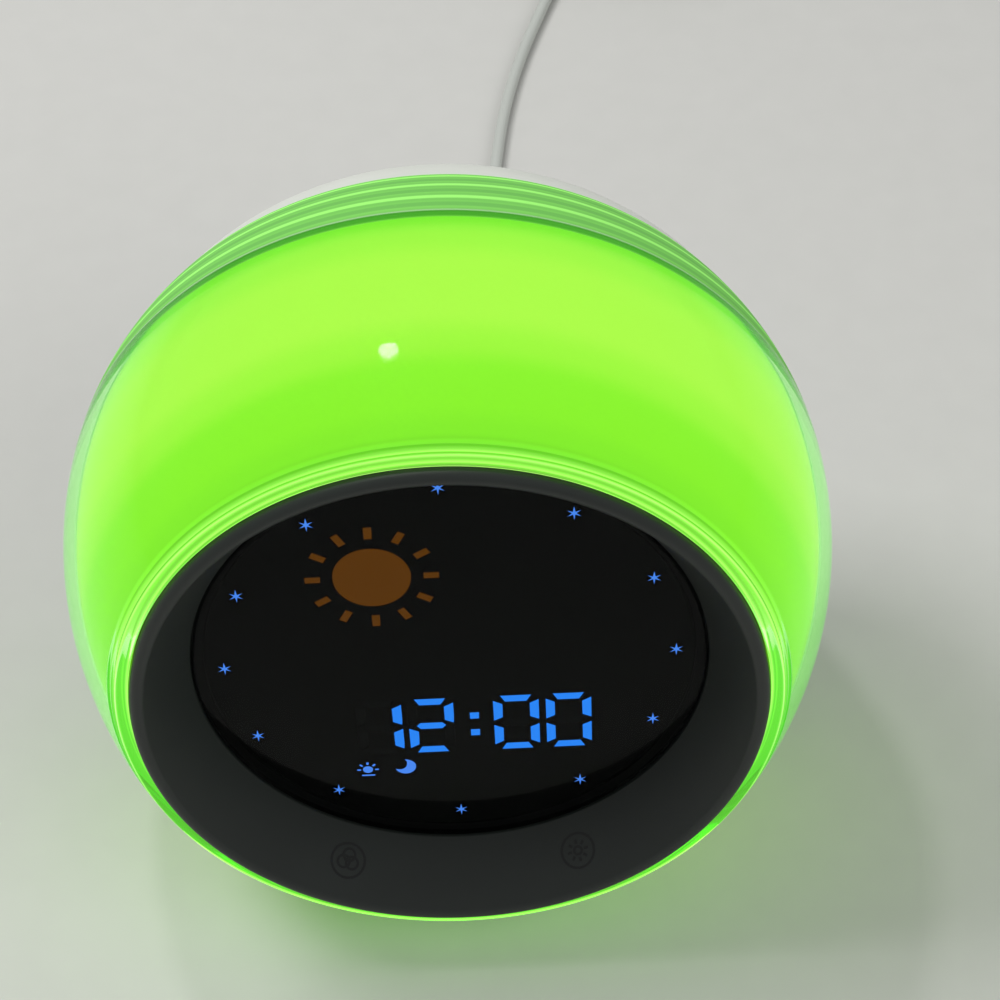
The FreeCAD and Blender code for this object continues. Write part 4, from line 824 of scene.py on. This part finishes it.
def copied(name, shape, places, material=None, upright=False):
    """Copies of a shape at (x, u, depth) places of the face frame, or at room places when upright."""
    mesh = bpy.data.meshes.new(name + "_places")
    mesh.from_pydata([(p[0] * MM, p[1] * MM, p[2] * MM if upright else -p[2] * MM) for p in places], [], [])
    turn_values = mesh.attributes.new("turn", "FLOAT", "POINT")
    for index, p in enumerate(places):
        turn_values.data[index].value = p[3] if len(p) > 3 else 0.0
    guide = object_of(name + "_places", mesh)
    values = {"Shape": shape, "Places": guide, "Centre": (0.0, 0.0, 0.0) if upright else face_centre,
              "Lean": 0.0 if upright else math.radians(90) - face_tilt}
    if material:
        values["Material"] = material
    thing = made_by(copies_tree, copies_keys, name, values)
    bpy.data.objects.remove(guide)
    return thing


print("copies tree", len(copies_tree.nodes), "nodes")

# %% [markdown]
# The cover is a turned shell with four screw bosses inside. Its grille, its button holes, its screw
# recesses and the socket hole are drilled with copies of turned drills. A drill that flares where it meets
# the surface leaves a fine chamfer, as the mould does.

# %% The tree for drilling
drilled_tree, given, result, drilled_keys = new_tree("drilled_piece", {
    "Bosses": "Object", "Drills": "Object", "Material": "Material"})
bosses = add_node(drilled_tree, "GeometryNodeObjectInfo", {"Object": given["Bosses"]}).outputs["Geometry"]
drills = add_node(drilled_tree, "GeometryNodeObjectInfo", {"Object": given["Drills"]}).outputs["Geometry"]
whole = add_node(drilled_tree, "GeometryNodeMeshBoolean", operation="UNION", solver="MANIFOLD")
drilled_tree.links.new(given["Geometry"], whole.inputs["Mesh 2"])
drilled_tree.links.new(bosses, whole.inputs["Mesh 2"])
holed = add_node(drilled_tree, "GeometryNodeMeshBoolean", {0: whole.outputs["Mesh"], 1: drills},
                 operation="DIFFERENCE", solver="MANIFOLD")
shade_and_close(drilled_tree, holed.outputs["Mesh"], given["Material"], result[0])


def merged(name, things):
    """One object that holds the meshes of several, which are removed."""
    work = bmesh.new()
    for thing in things:
        work.from_mesh(thing.data)
        bpy.data.objects.remove(thing)
    mesh = bpy.data.meshes.new(name)
    work.to_mesh(mesh)
    work.free()
    return object_of(name, mesh)


# %% Back cover
cover_round, cover_round_depth, cover_flat_radius, cover_wall = 31.4, 51.3, 34.0, 2.2
cover_front, cover_step_back, cover_spigot = 57.4, 59.4, 59.2
cover_back, cover_inner = cover_round_depth + cover_round, cover_round_depth + cover_round - cover_wall
button_places = [(-22.0 + 11.0 * index, -17.0) for index in range(5)]
button_radius, jack_place = 4.5, (6.0, -34.0)
cover_screw_places = [(x * 26.9, u * 26.9) for x in (-1, 1) for u in (-1, 1)]
grille_places = [(4.6 * ring * math.cos(math.tau * i / max(1, 6 * ring)),
                  12.0 + 4.6 * ring * math.sin(math.tau * i / max(1, 6 * ring)))
                 for ring in range(3) for i in range(max(1, 6 * ring))]


def shoulder(inset, start, end, steps=28):
    """The cover's rounded shoulder between two depths, from a wall inset under its outside."""
    radius = cover_round - inset
    first, last = (math.asin((depth - cover_round_depth) / radius) for depth in (start, end))
    return [(cover_flat_radius + radius * math.cos(first + (last - first) * i / steps),
             cover_round_depth + radius * math.sin(first + (last - first) * i / steps)) for i in range(steps + 1)]


cover_outline = soften(
    [(0, cover_back), (16, cover_back)] + shoulder(0, cover_back, cover_front) + [
        (cover_spigot, cover_front), (cover_spigot, cover_front - 3.4),
        (cover_spigot - 1.8, cover_front - 3.4),
        (cover_spigot - 1.8, cover_step_back)] + shoulder(cover_wall, cover_step_back, cover_inner)
    + [(0, cover_inner)], 0.35, closed=False)
base_y, foot_outer, foot_inner = -5.0, 35.49, 30.49


def drill(name, radius, front, back, flare, places, steps=32):
    """Copies of a round drill whose back end flares into a chamfer."""
    outline = [(0, front), (radius, front), (radius, back - flare), (radius + flare + 0.5, back + 0.5),
               (0, back + 0.5)]
    shape = shape_of(name, outline, steps)
    drills_made = copied(name + "s", shape, [(x, u, 0) for x, u in places])
    bpy.data.objects.remove(shape)
    return drills_made


blank = turned("cover_blank", cover_outline, slot_finishes["cover_white_abs"], [], 256,
               floor=base_top)
boss_shape = shape_of("boss", [(0, cover_inner - 23.9), (3.6, cover_inner - 23.9), (3.6, cover_back - 1.0),
                               (0, cover_back - 1.0)])
bosses_made = copied("bosses", boss_shape, [(x, u, 0) for x, u in cover_screw_places])
bpy.data.objects.remove(boss_shape)
recess = shape_of("recess", [(0, 55.0), (1.5, 55.0), (1.5, cover_back - 3.6), (2.8, cover_back - 3.6),
                             (2.8, cover_back - 0.35), (3.65, cover_back + 0.5), (0, cover_back + 0.5)])
recesses = copied("recesses", recess, [(x, u, 0) for x, u in cover_screw_places])
bpy.data.objects.remove(recess)
cover_drills = merged("cover_drills", [
    recesses,
    drill("grille_drill", 1.3, cover_inner - 1, cover_back, 0.3, grille_places, 24),
    drill("button_drill", button_radius + 0.3, cover_inner - 1, cover_back, 0.35, button_places, 48),
    drill("jack_drill", 5.2, cover_inner - 8, cover_back + 0.5, 0.0, [jack_place], 48)])
back_shell = made_by(drilled_tree, drilled_keys, "back_shell", {
    "Bosses": bosses_made, "Drills": cover_drills, "Material": slot_finishes["cover_white_abs"]},
    start=blank.data)
for thing in (blank, bosses_made, cover_drills):
    bpy.data.objects.remove(thing)
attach(back_shell, "housing")
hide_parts("back_cover")
print("back shell", len(back_shell.data.polygons), "faces, grille holes", len(grille_places))

# %% [markdown]
# The five caps are turned about their own lines. Each rides on its own body, so that it can be pressed.
# Their tops are slightly hollow for a fingertip and carry a small printed sign of a common kind.

# %% Rear buttons
cap_proud, cap_flange_front = 1.2, cover_inner - 0.3
cap_back = cover_back + cap_proud
cap_outline = soften([
    (0, cap_back - 0.22), (1.6, cap_back - 0.18), (3.0, cap_back - 0.04), (button_radius - 0.45, cap_back),
    (button_radius, cap_back - 0.45), (button_radius, cap_flange_front),
    (button_radius + 0.9, cap_flange_front),
    (button_radius + 0.9, cap_flange_front - 1.2), (1.6, cap_flange_front - 1.2),
    (1.6, cap_flange_front - 4.2),
    (0, cap_flange_front - 4.2)], 0.16, steps=3, closed=False)
bell = [(-0.9, -0.7), (0.9, -0.7), (0.62, -0.25), (0.55, 0.35), (0.3, 0.8), (0, 0.95), (-0.3, 0.8),
        (-0.55, 0.35), (-0.62, -0.25)]
cap_signs = {
    "mode_button": [([(-0.9, y), (0.9, y)], False) for y in (-0.75, 0, 0.75)],
    "minus_button": [([(-1.0, 0), (1.0, 0)], False)],
    "plus_button": [([(-1.0, 0), (1.0, 0)], False), ([(0, -1.0), (0, 1.0)], False)],
    "alarm_button": [(bell, True), ([(-0.25, -1.1), (0.25, -1.1)], False)],
    "light_button": [(circle(0, 0, 0.55, 20), True)] + [(line, False) for line in rays(0.95, 1.4, 8)]}


def on_cap(place):
    """Maps a sign's drawing to a cap's top, seen from behind the clock."""
    def surface(across, up, lift):
        return face_point((place[0] - across) * MM, (place[1] + up) * MM, (cap_back - 0.16 + lift) * MM)
    return surface


for (name, strokes), place in zip(cap_signs.items(), button_places):
    turned(name + "_cap", cap_outline, slot_finishes["button_white_abs"], [name], 64,
           body=name, centre=place)
    inked(name + "_sign", strokes, 0.28, on_cap(place), dark_ink, body=name)

# %% [markdown]
# A screw's head is turned, and its cross recess is cut with two crossed wedges. One such screw is copied
# to all its places, each at a different angle, since no one lines them up on the bench.

# %% Screws
def wedges(name, reach, half_width, sink):
    """Crossed tapered bars for a cross recess, with their wide end at depth 0."""
    work = bmesh.new()
    for turn in (0, 1):
        corners = []
        for depth, grow in ((0.3, 1.15), (-sink, 0.45)):
            a, b = reach * grow, half_width * (0.6 + 0.4 * grow)
            ring = [(-a, -b), (a, -b), (a, b), (-a, b)]
            corners.append([work.verts.new(((-y if turn else x) * MM, (x if turn else y) * MM, -depth * MM))
                            for x, y in ring])
        work.faces.new(corners[0])
        work.faces.new(list(reversed(corners[1])))
        for i in range(4):
            j = (i + 1) % 4
            work.faces.new((corners[0][i], corners[1][i], corners[1][j], corners[0][j]))
    bmesh.ops.recalc_face_normals(work, faces=work.faces)
    mesh = bpy.data.meshes.new(name)
    work.to_mesh(mesh)
    work.free()
    return object_of(name, mesh)


def screw_shape(name, head_radius, head_height, shank_radius, length):
    """Pan-head screw with its outer face at depth 0 and its point forwards."""
    threads = []
    depth = -head_height - 0.8
    while depth > 1.0 - length:
        threads += [(shank_radius, depth), (shank_radius * 0.8, depth - 0.35)]
        depth -= 0.7
    outline = [(0, 0), (head_radius * 0.55, 0), (head_radius * 0.86, -head_height * 0.18),
               (head_radius, -head_height * 0.5), (head_radius, -head_height), (shank_radius, -head_height)]
    outline += threads + [(shank_radius * 0.5, 0.4 - length), (0, -length)]
    blank = shape_of(name + "_blank", outline, 32)
    cross = wedges(name + "_cross", head_radius * 0.55, 0.28 * head_radius / 2, head_height * 0.6)
    nothing = object_of(name + "_none", bpy.data.meshes.new(name + "_none"))
    shape = made_by(drilled_tree, drilled_keys, name, {
        "Bosses": nothing, "Drills": cross, "Material": slot_finishes["zinc_steel"]}, start=blank.data)
    for thing in (blank, cross, nothing):
        bpy.data.objects.remove(thing)
    return shape


def fitted_screws(name, node, sizes, places, upright=False):
    """One kind of screw at all its places, standing for a CAD node."""
    shape = screw_shape(name + "_one", *sizes)
    placed = [(*place, 0.7 + 1.9 * index) for index, place in enumerate(places)]
    piece = copied(name, shape, placed, slot_finishes["zinc_steel"], upright)
    bpy.data.objects.remove(shape)
    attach(piece, "housing")
    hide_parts(node)
    print(name, len(places), "screws", len(piece.data.polygons), "faces")
    return piece


post_places = [(side * x, y) for x, y in ((20.0, -2.01), (16.0, -24.01)) for side in (-1, 1)]
fitted_screws("cover_screw_set", "cover_screws", (2.6, 2.2, 1.15, 30.3),
              [(x, u, cover_back - 1.4) for x, u in cover_screw_places])
fitted_screws("base_screw_set", "base_screws", (2.8, 1.4, 1.3, 11.4), [(x, y, 2.0) for x, y in post_places],
              upright=True)

# %% [markdown]
# Underneath, the clock stands on a soft ring, turned about an upright line. Fine grooves in its sole keep it
# from sliding. The screw of the battery door has the same cross recess as the others, a little smaller.

# %% Foot ring and door screw
def upright_turned(name, outline, material, replaced, centre, steps=160, closed=True):
    """Piece turned about an upright line, from (radius, height) points in millimetres."""
    shape = shape_of(name + "_shape", [(r, -z) for r, z in soften(outline, 0.3, closed=closed)], steps)
    piece = copied(name, shape, [(centre[0], centre[1], 0.0)], material, upright=True)
    bpy.data.objects.remove(shape)
    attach(piece, "housing")
    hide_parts(*replaced)
    return piece


sole = [(foot_inner, 0.0)]
for step in range(1, 6):
    groove = foot_inner + step * (foot_outer - foot_inner) / 6
    sole += [(groove - 0.2, 0.0), (groove - 0.12, 0.35), (groove + 0.12, 0.35), (groove + 0.2, 0.0)]
foot_sections = sole + [(foot_outer, 0.0), (foot_outer, 2.0), (foot_inner, 2.0)]
upright_turned("soft_foot", foot_sections, slot_finishes["silicone_foot"],
               ["foot_ring"], (0.0, base_y))
door_screw = screw_shape("door_screw_shape", 1.0, 1.0, 0.8, 3.4)
fitted = copied("door_screw", door_screw, [(0.0, -0.8, 1.95, 0.5)], slot_finishes["zinc_steel"], upright=True)
bpy.data.objects.remove(door_screw)
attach(fitted, "housing")
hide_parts("battery_door_screw")

# %% [markdown]
# The lead ends in a round plug at the clock, with a ribbed sleeve that lets it bend without kinking. Both
# are turned about the lead's own line, which runs beside the face axis.

# %% Round plug and its sleeve
plug_front, plug_radius, plug_length, sleeve_length = 79.9, 4.75, 15.0, 13.0
plug_rear = plug_front + plug_length


def ribbed_sleeve(start, length, wide, narrow, ribs):
    """Outline of a tapered sleeve whose ribs are parted by grooves."""
    points, step = [(0, start), (wide, start)], length / ribs
    for index in range(ribs):
        near = start + step * index
        after = near + step * 0.55
        outer = wide - (wide - narrow) * (after - start) / length
        points += [(outer, after), (outer - 0.45, after), (outer - 0.45, near + step * 0.95),
                   (wide - (wide - narrow) * (near + step - start) / length, near + step * 0.95)]
    return points + [(narrow, start + length), (0, start + length)]


plug_outline = [(0, plug_front - 7.6), (1.75, plug_front - 7.6), (1.75, plug_front),
                (plug_radius - 0.4, plug_front),
                (plug_radius, plug_front + 0.4), (plug_radius, plug_rear - 8.2),
                (plug_radius - 0.25, plug_rear - 8.0),
                (plug_radius - 0.25, plug_rear - 7.6), (plug_radius, plug_rear - 7.4),
                (plug_radius, plug_rear - 4)]
plug_outline += arc_through((plug_radius, plug_rear - 4), (plug_radius - 0.35, plug_rear - 1.6),
                            (3.2, plug_rear), 8)
turned("round_plug", soften(plug_outline + [(0, plug_rear)], 0.25, 3, False), slot_finishes["lead_white_pvc"],
       ["dc_plug"], 64, centre=jack_place)
turned("plug_sleeve", soften(ribbed_sleeve(plug_rear, sleeve_length, 2.9, 2.1, 3), 0.18, 3, False),
       slot_finishes["lead_white_pvc"], ["dc_strain_relief"], 48, centre=jack_place)

# %% [markdown]
# The flat plug at the far end is a moulding lofted through rounded rectangles: it narrows a little towards
# the lead and has three finger grooves. Its metal shell is a folded tube, lofted out and back in as one
# wall. Two square windows in each of its flat sides are cut by the drilling tree.

# %% Flat plug
plug_end = Vector(tail_points[-1]) * MM
plug_way = (Vector(tail_points[-1]) - Vector(tail_points[-2])).normalized()
plug_turn = Matrix.Translation(plug_end) @ plug_way.to_track_quat("X", "Z").to_matrix().to_4x4()


def rounded_rectangle(width, height, corner, steps=6):
    """Outline across a plug, anticlockwise, in (y, z) millimetres."""
    out = []
    for cx, cz, start in ((1, 1, 0), (-1, 1, 90), (-1, -1, 180), (1, -1, 270)):
        for i in range(steps + 1):
            a = math.radians(start + 90 * i / steps)
            out.append((cx * (width / 2 - corner) + corner * math.cos(a),
                        cz * (height / 2 - corner) + corner * math.sin(a)))
    return out


def as_piece(name, work, material, replaced=(), turn=None):
    """Keeps a bmesh as a finished piece of the housing, smooth but for its sharp edges."""
    bmesh.ops.recalc_face_normals(work, faces=work.faces)
    if turn:
        work.transform(turn)
    for face in work.faces:
        face.smooth = True
    for edge in work.edges:
        edge.smooth = len(edge.link_faces) != 2 or edge.calc_face_angle() < math.radians(35)
    mesh = bpy.data.meshes.new(name)
    work.to_mesh(mesh)
    work.free()
    mesh.materials.append(material)
    piece = object_of(name, mesh)
    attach(piece, "housing")
    if replaced:
        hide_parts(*replaced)
    print(name, len(mesh.polygons), "faces")
    return piece


def boxes(spans):
    """Plain boxes given as (x, y, z) spans, for a small part or a cut."""
    work = bmesh.new()
    for spans_of_one in spans:
        corners = [work.verts.new((x * MM, y * MM, z * MM)) for x in spans_of_one[0] for y in spans_of_one[1]
                   for z in spans_of_one[2]]
        for quad in ((0, 1, 3, 2), (4, 6, 7, 5), (0, 4, 5, 1), (2, 3, 7, 6), (0, 2, 6, 4), (1, 5, 7, 3)):
            work.faces.new([corners[k] for k in quad])
    bmesh.ops.recalc_face_normals(work, faces=work.faces)
    return work


def lofted(name, sections, material, replaced, hollow=False):
    """Piece lofted through (x, outline) sections in the plug's own frame."""
    work = bmesh.new()
    rings = [[work.verts.new((x * MM, y * MM, z * MM)) for y, z in outline] for x, outline in sections]
    pairs = list(zip(rings, rings[1:])) + ([(rings[-1], rings[0])] if hollow else [])
    for a, b in pairs:
        for i in range(len(a)):
            j = (i + 1) % len(a)
            work.faces.new((a[i], b[i], b[j], a[j]))
    if not hollow:
        work.faces.new(rings[0])
        work.faces.new(list(reversed(rings[-1])))
    return as_piece(name, work, material, replaced, plug_turn)


grip_sections = [(9.0, 13.0, 6.0, 1.4), (9.3, 13.8, 6.8, 1.6), (10.2, 14.6, 7.5, 1.8), (12.0, 15.2, 7.8, 1.8)]
for groove in (13.2, 15.4, 17.6):
    grip_sections += [(groove, 15.3, 7.9, 1.8), (groove + 0.3, 14.6, 7.4, 1.7),
                      (groove + 0.9, 14.6, 7.4, 1.7),
                      (groove + 1.2, 15.4, 7.9, 1.8)]
grip_sections += [(20.5, 15.6, 8.0, 1.8), (30.2, 15.6, 8.0, 1.8), (30.8, 15.3, 7.7, 1.7),
                  (31.0, 14.8, 7.2, 1.5)]
lofted("flat_plug_body", [(x, rounded_rectangle(w, h, c)) for x, w, h, c in grip_sections],
       slot_finishes["lead_white_pvc"], ["usb_plug_body"])
sleeve_profile = ribbed_sleeve(0.0, 9.0, 2.9, 2.1, 3)
sleeve_turns = [math.tau * i / 32 for i in range(32)]
sleeve_sections = [(9.0 - d, [(r * math.cos(turn), r * math.sin(turn)) for turn in sleeve_turns])
                   for r, d in soften(sleeve_profile, 0.15, 3, False) if r > 0.01]
lofted("flat_plug_sleeve", sleeve_sections, slot_finishes["lead_white_pvc"],
       ["usb_strain_relief"])

shell_start, shell_end = 31.0, 42.8
outer_run = [(shell_start, 12.0, 4.5), (shell_end - 0.15, 12.0, 4.5), (shell_end, 11.9, 4.4)]
inner_run = [(shell_end, 11.5, 4.0), (shell_end - 0.15, 11.4, 3.9), (shell_start + 1.0, 11.4, 3.9)]
shell_sections = [(x, rounded_rectangle(w, h, 0.45, 3)) for x, w, h in outer_run + inner_run]
shell_sections.append((shell_start + 0.9, rounded_rectangle(0.2, 0.1, 0.04, 3)))
shell_blank = lofted("shell_blank", shell_sections, slot_finishes["nickel_shell"], [],
                     hollow=True)
window_cuts = boxes([((36.2, 38.6), (side * 2.9 - 1.1, side * 2.9 + 1.1), (-3.0, 3.0)) for side in (-1, 1)])
window_cuts.transform(plug_turn)
window_mesh = bpy.data.meshes.new("windows")
window_cuts.to_mesh(window_mesh)
window_cuts.free()
windows = object_of("windows", window_mesh)
nothing = object_of("nothing", bpy.data.meshes.new("nothing"))
plug_shell = made_by(drilled_tree, drilled_keys, "flat_plug_shell", {
    "Bosses": nothing, "Drills": windows, "Material": slot_finishes["nickel_shell"]}, start=shell_blank.data)
for thing in (shell_blank, windows, nothing):
    bpy.data.objects.remove(thing)
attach(plug_shell, "housing")
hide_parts("usb_plug_shell")
strips = boxes([((33.2, 41.0), (y - 0.5, y + 0.5), (-0.05, 0.06)) for y in (-3.5, -1.17, 1.17, 3.5)])
bmesh.ops.bevel(strips, geom=strips.edges[:], offset=0.03 * MM, segments=1, affect="EDGES")
as_piece("flat_plug_contacts", strips, gold_plate, turn=plug_turn)

# %% [markdown]
# A loose band ties the coil. It is a strap wrapped round the bundle, so its section is a thin rounded
# rectangle that closes on itself, swept by lofting the wall from one edge of the strap to the other.

# %% Cord tie
tie_thickness, tie_width = 0.7, 6.0
tie_inner = coil_inner_radius / MM - cord_diameter / MM / 2 - 0.9
tie_outer = coil_outer_radius / MM + cord_diameter / MM / 2 + 0.9
tie_top = coil_floor / MM + (coil_layers - 1) * coil_pitch / MM + cord_diameter / MM / 2 + 0.3
band_width, band_height = tie_outer - tie_inner + 2 * tie_thickness, tie_top + tie_thickness


def band_section(y, grow):
    return y, [(a + (tie_inner + tie_outer) / 2, b + band_height / 2)
               for a, b in rounded_rectangle(band_width + 2 * grow, band_height + 2 * grow, 1.8 + grow, 5)]


tie_turn = Matrix.Translation((coil_centre.x, coil_centre.y, 0)) @ Matrix.Rotation(math.radians(40), 4, "Z")
half = tie_width / 2
band_sections = [band_section(-half + 0.15, -tie_thickness), band_section(-half, -tie_thickness + 0.15),
                 band_section(-half, -0.15), band_section(-half + 0.15, 0.0), band_section(half - 0.15, 0.0),
                 band_section(half, -0.15), band_section(half, -tie_thickness + 0.15),
                 band_section(half - 0.15, -tie_thickness)]
tie = bmesh.new()
loops = [[tie.verts.new(Vector((a, y, b)) * MM) for a, b in outline] for y, outline in band_sections]
for a, b in zip(loops, loops[1:] + loops[:1]):
    for i in range(len(a)):
        j = (i + 1) % len(a)
        tie.faces.new((a[i], b[i], b[j], a[j]))
as_piece("coil_band", tie, slot_finishes["tie_black"], ["cord_tie"], tie_turn)
print("tie, mm", [round(v, 1) for v in (tie_inner, tie_outer, tie_top)])

# %% [markdown]
# The stage is a pale floor and soft light: a wide lamp above and behind, a second from the left and an
# even grey world. The lamps stay at a level where a colour renders about as it is written.

# %% Floor, lamps and world
floor_mesh = bpy.data.meshes.new("floor")
reach = 6.0
floor_mesh.from_pydata([(-reach, -reach, 0), (reach, -reach, 0), (reach, reach, 0), (-reach, reach, 0)],
                       [], [(0, 1, 2, 3)])
floor = bpy.data.objects.new("floor", floor_mesh)
bpy.context.scene.collection.objects.link(floor)
floor.data.materials.append(finish("matt_card", "#c6c6c2", 0.9, 0.8, 0.01, mottle=0.01))


def lamp(name, place, target, size, watts):
    """Square soft lamp aimed at a target."""
    data = bpy.data.lights.new(name, "AREA")
    data.size = size
    data.energy = watts
    thing = bpy.data.objects.new(name, data)
    bpy.context.scene.collection.objects.link(thing)
    thing.matrix_world = (Matrix.Translation(place)
                          @ (target - place).to_track_quat("-Z", "Y").to_matrix().to_4x4())
    thing.visible_glossy = thing.visible_transmission = False
    return thing


ball_middle = face_point(0, 0, 32.5 * MM)
lamp("key_lamp", Vector((-0.7, 0.25, 1.1)), ball_middle, 0.5, 9.0)
lamp("fill_lamp", Vector((0.9, -0.7, 0.9)), ball_middle, 0.9, 6.0)
spark = lamp("spark_lamp", Vector((-0.191, 0.330, 0.942)), ball_middle, 0.08, 1.2)
spark.data.shape, spark.visible_glossy, spark.visible_transmission = "DISK", True, True
world = bpy.data.worlds.new("soft_room")
world.use_nodes = True
world.node_tree.nodes["Background"].inputs["Color"].default_value = (0.8, 0.8, 0.8, 1)
world.node_tree.nodes["Background"].inputs["Strength"].default_value = 0.5
bpy.context.scene.world = world
bpy.context.scene.view_settings.view_transform = "Standard"
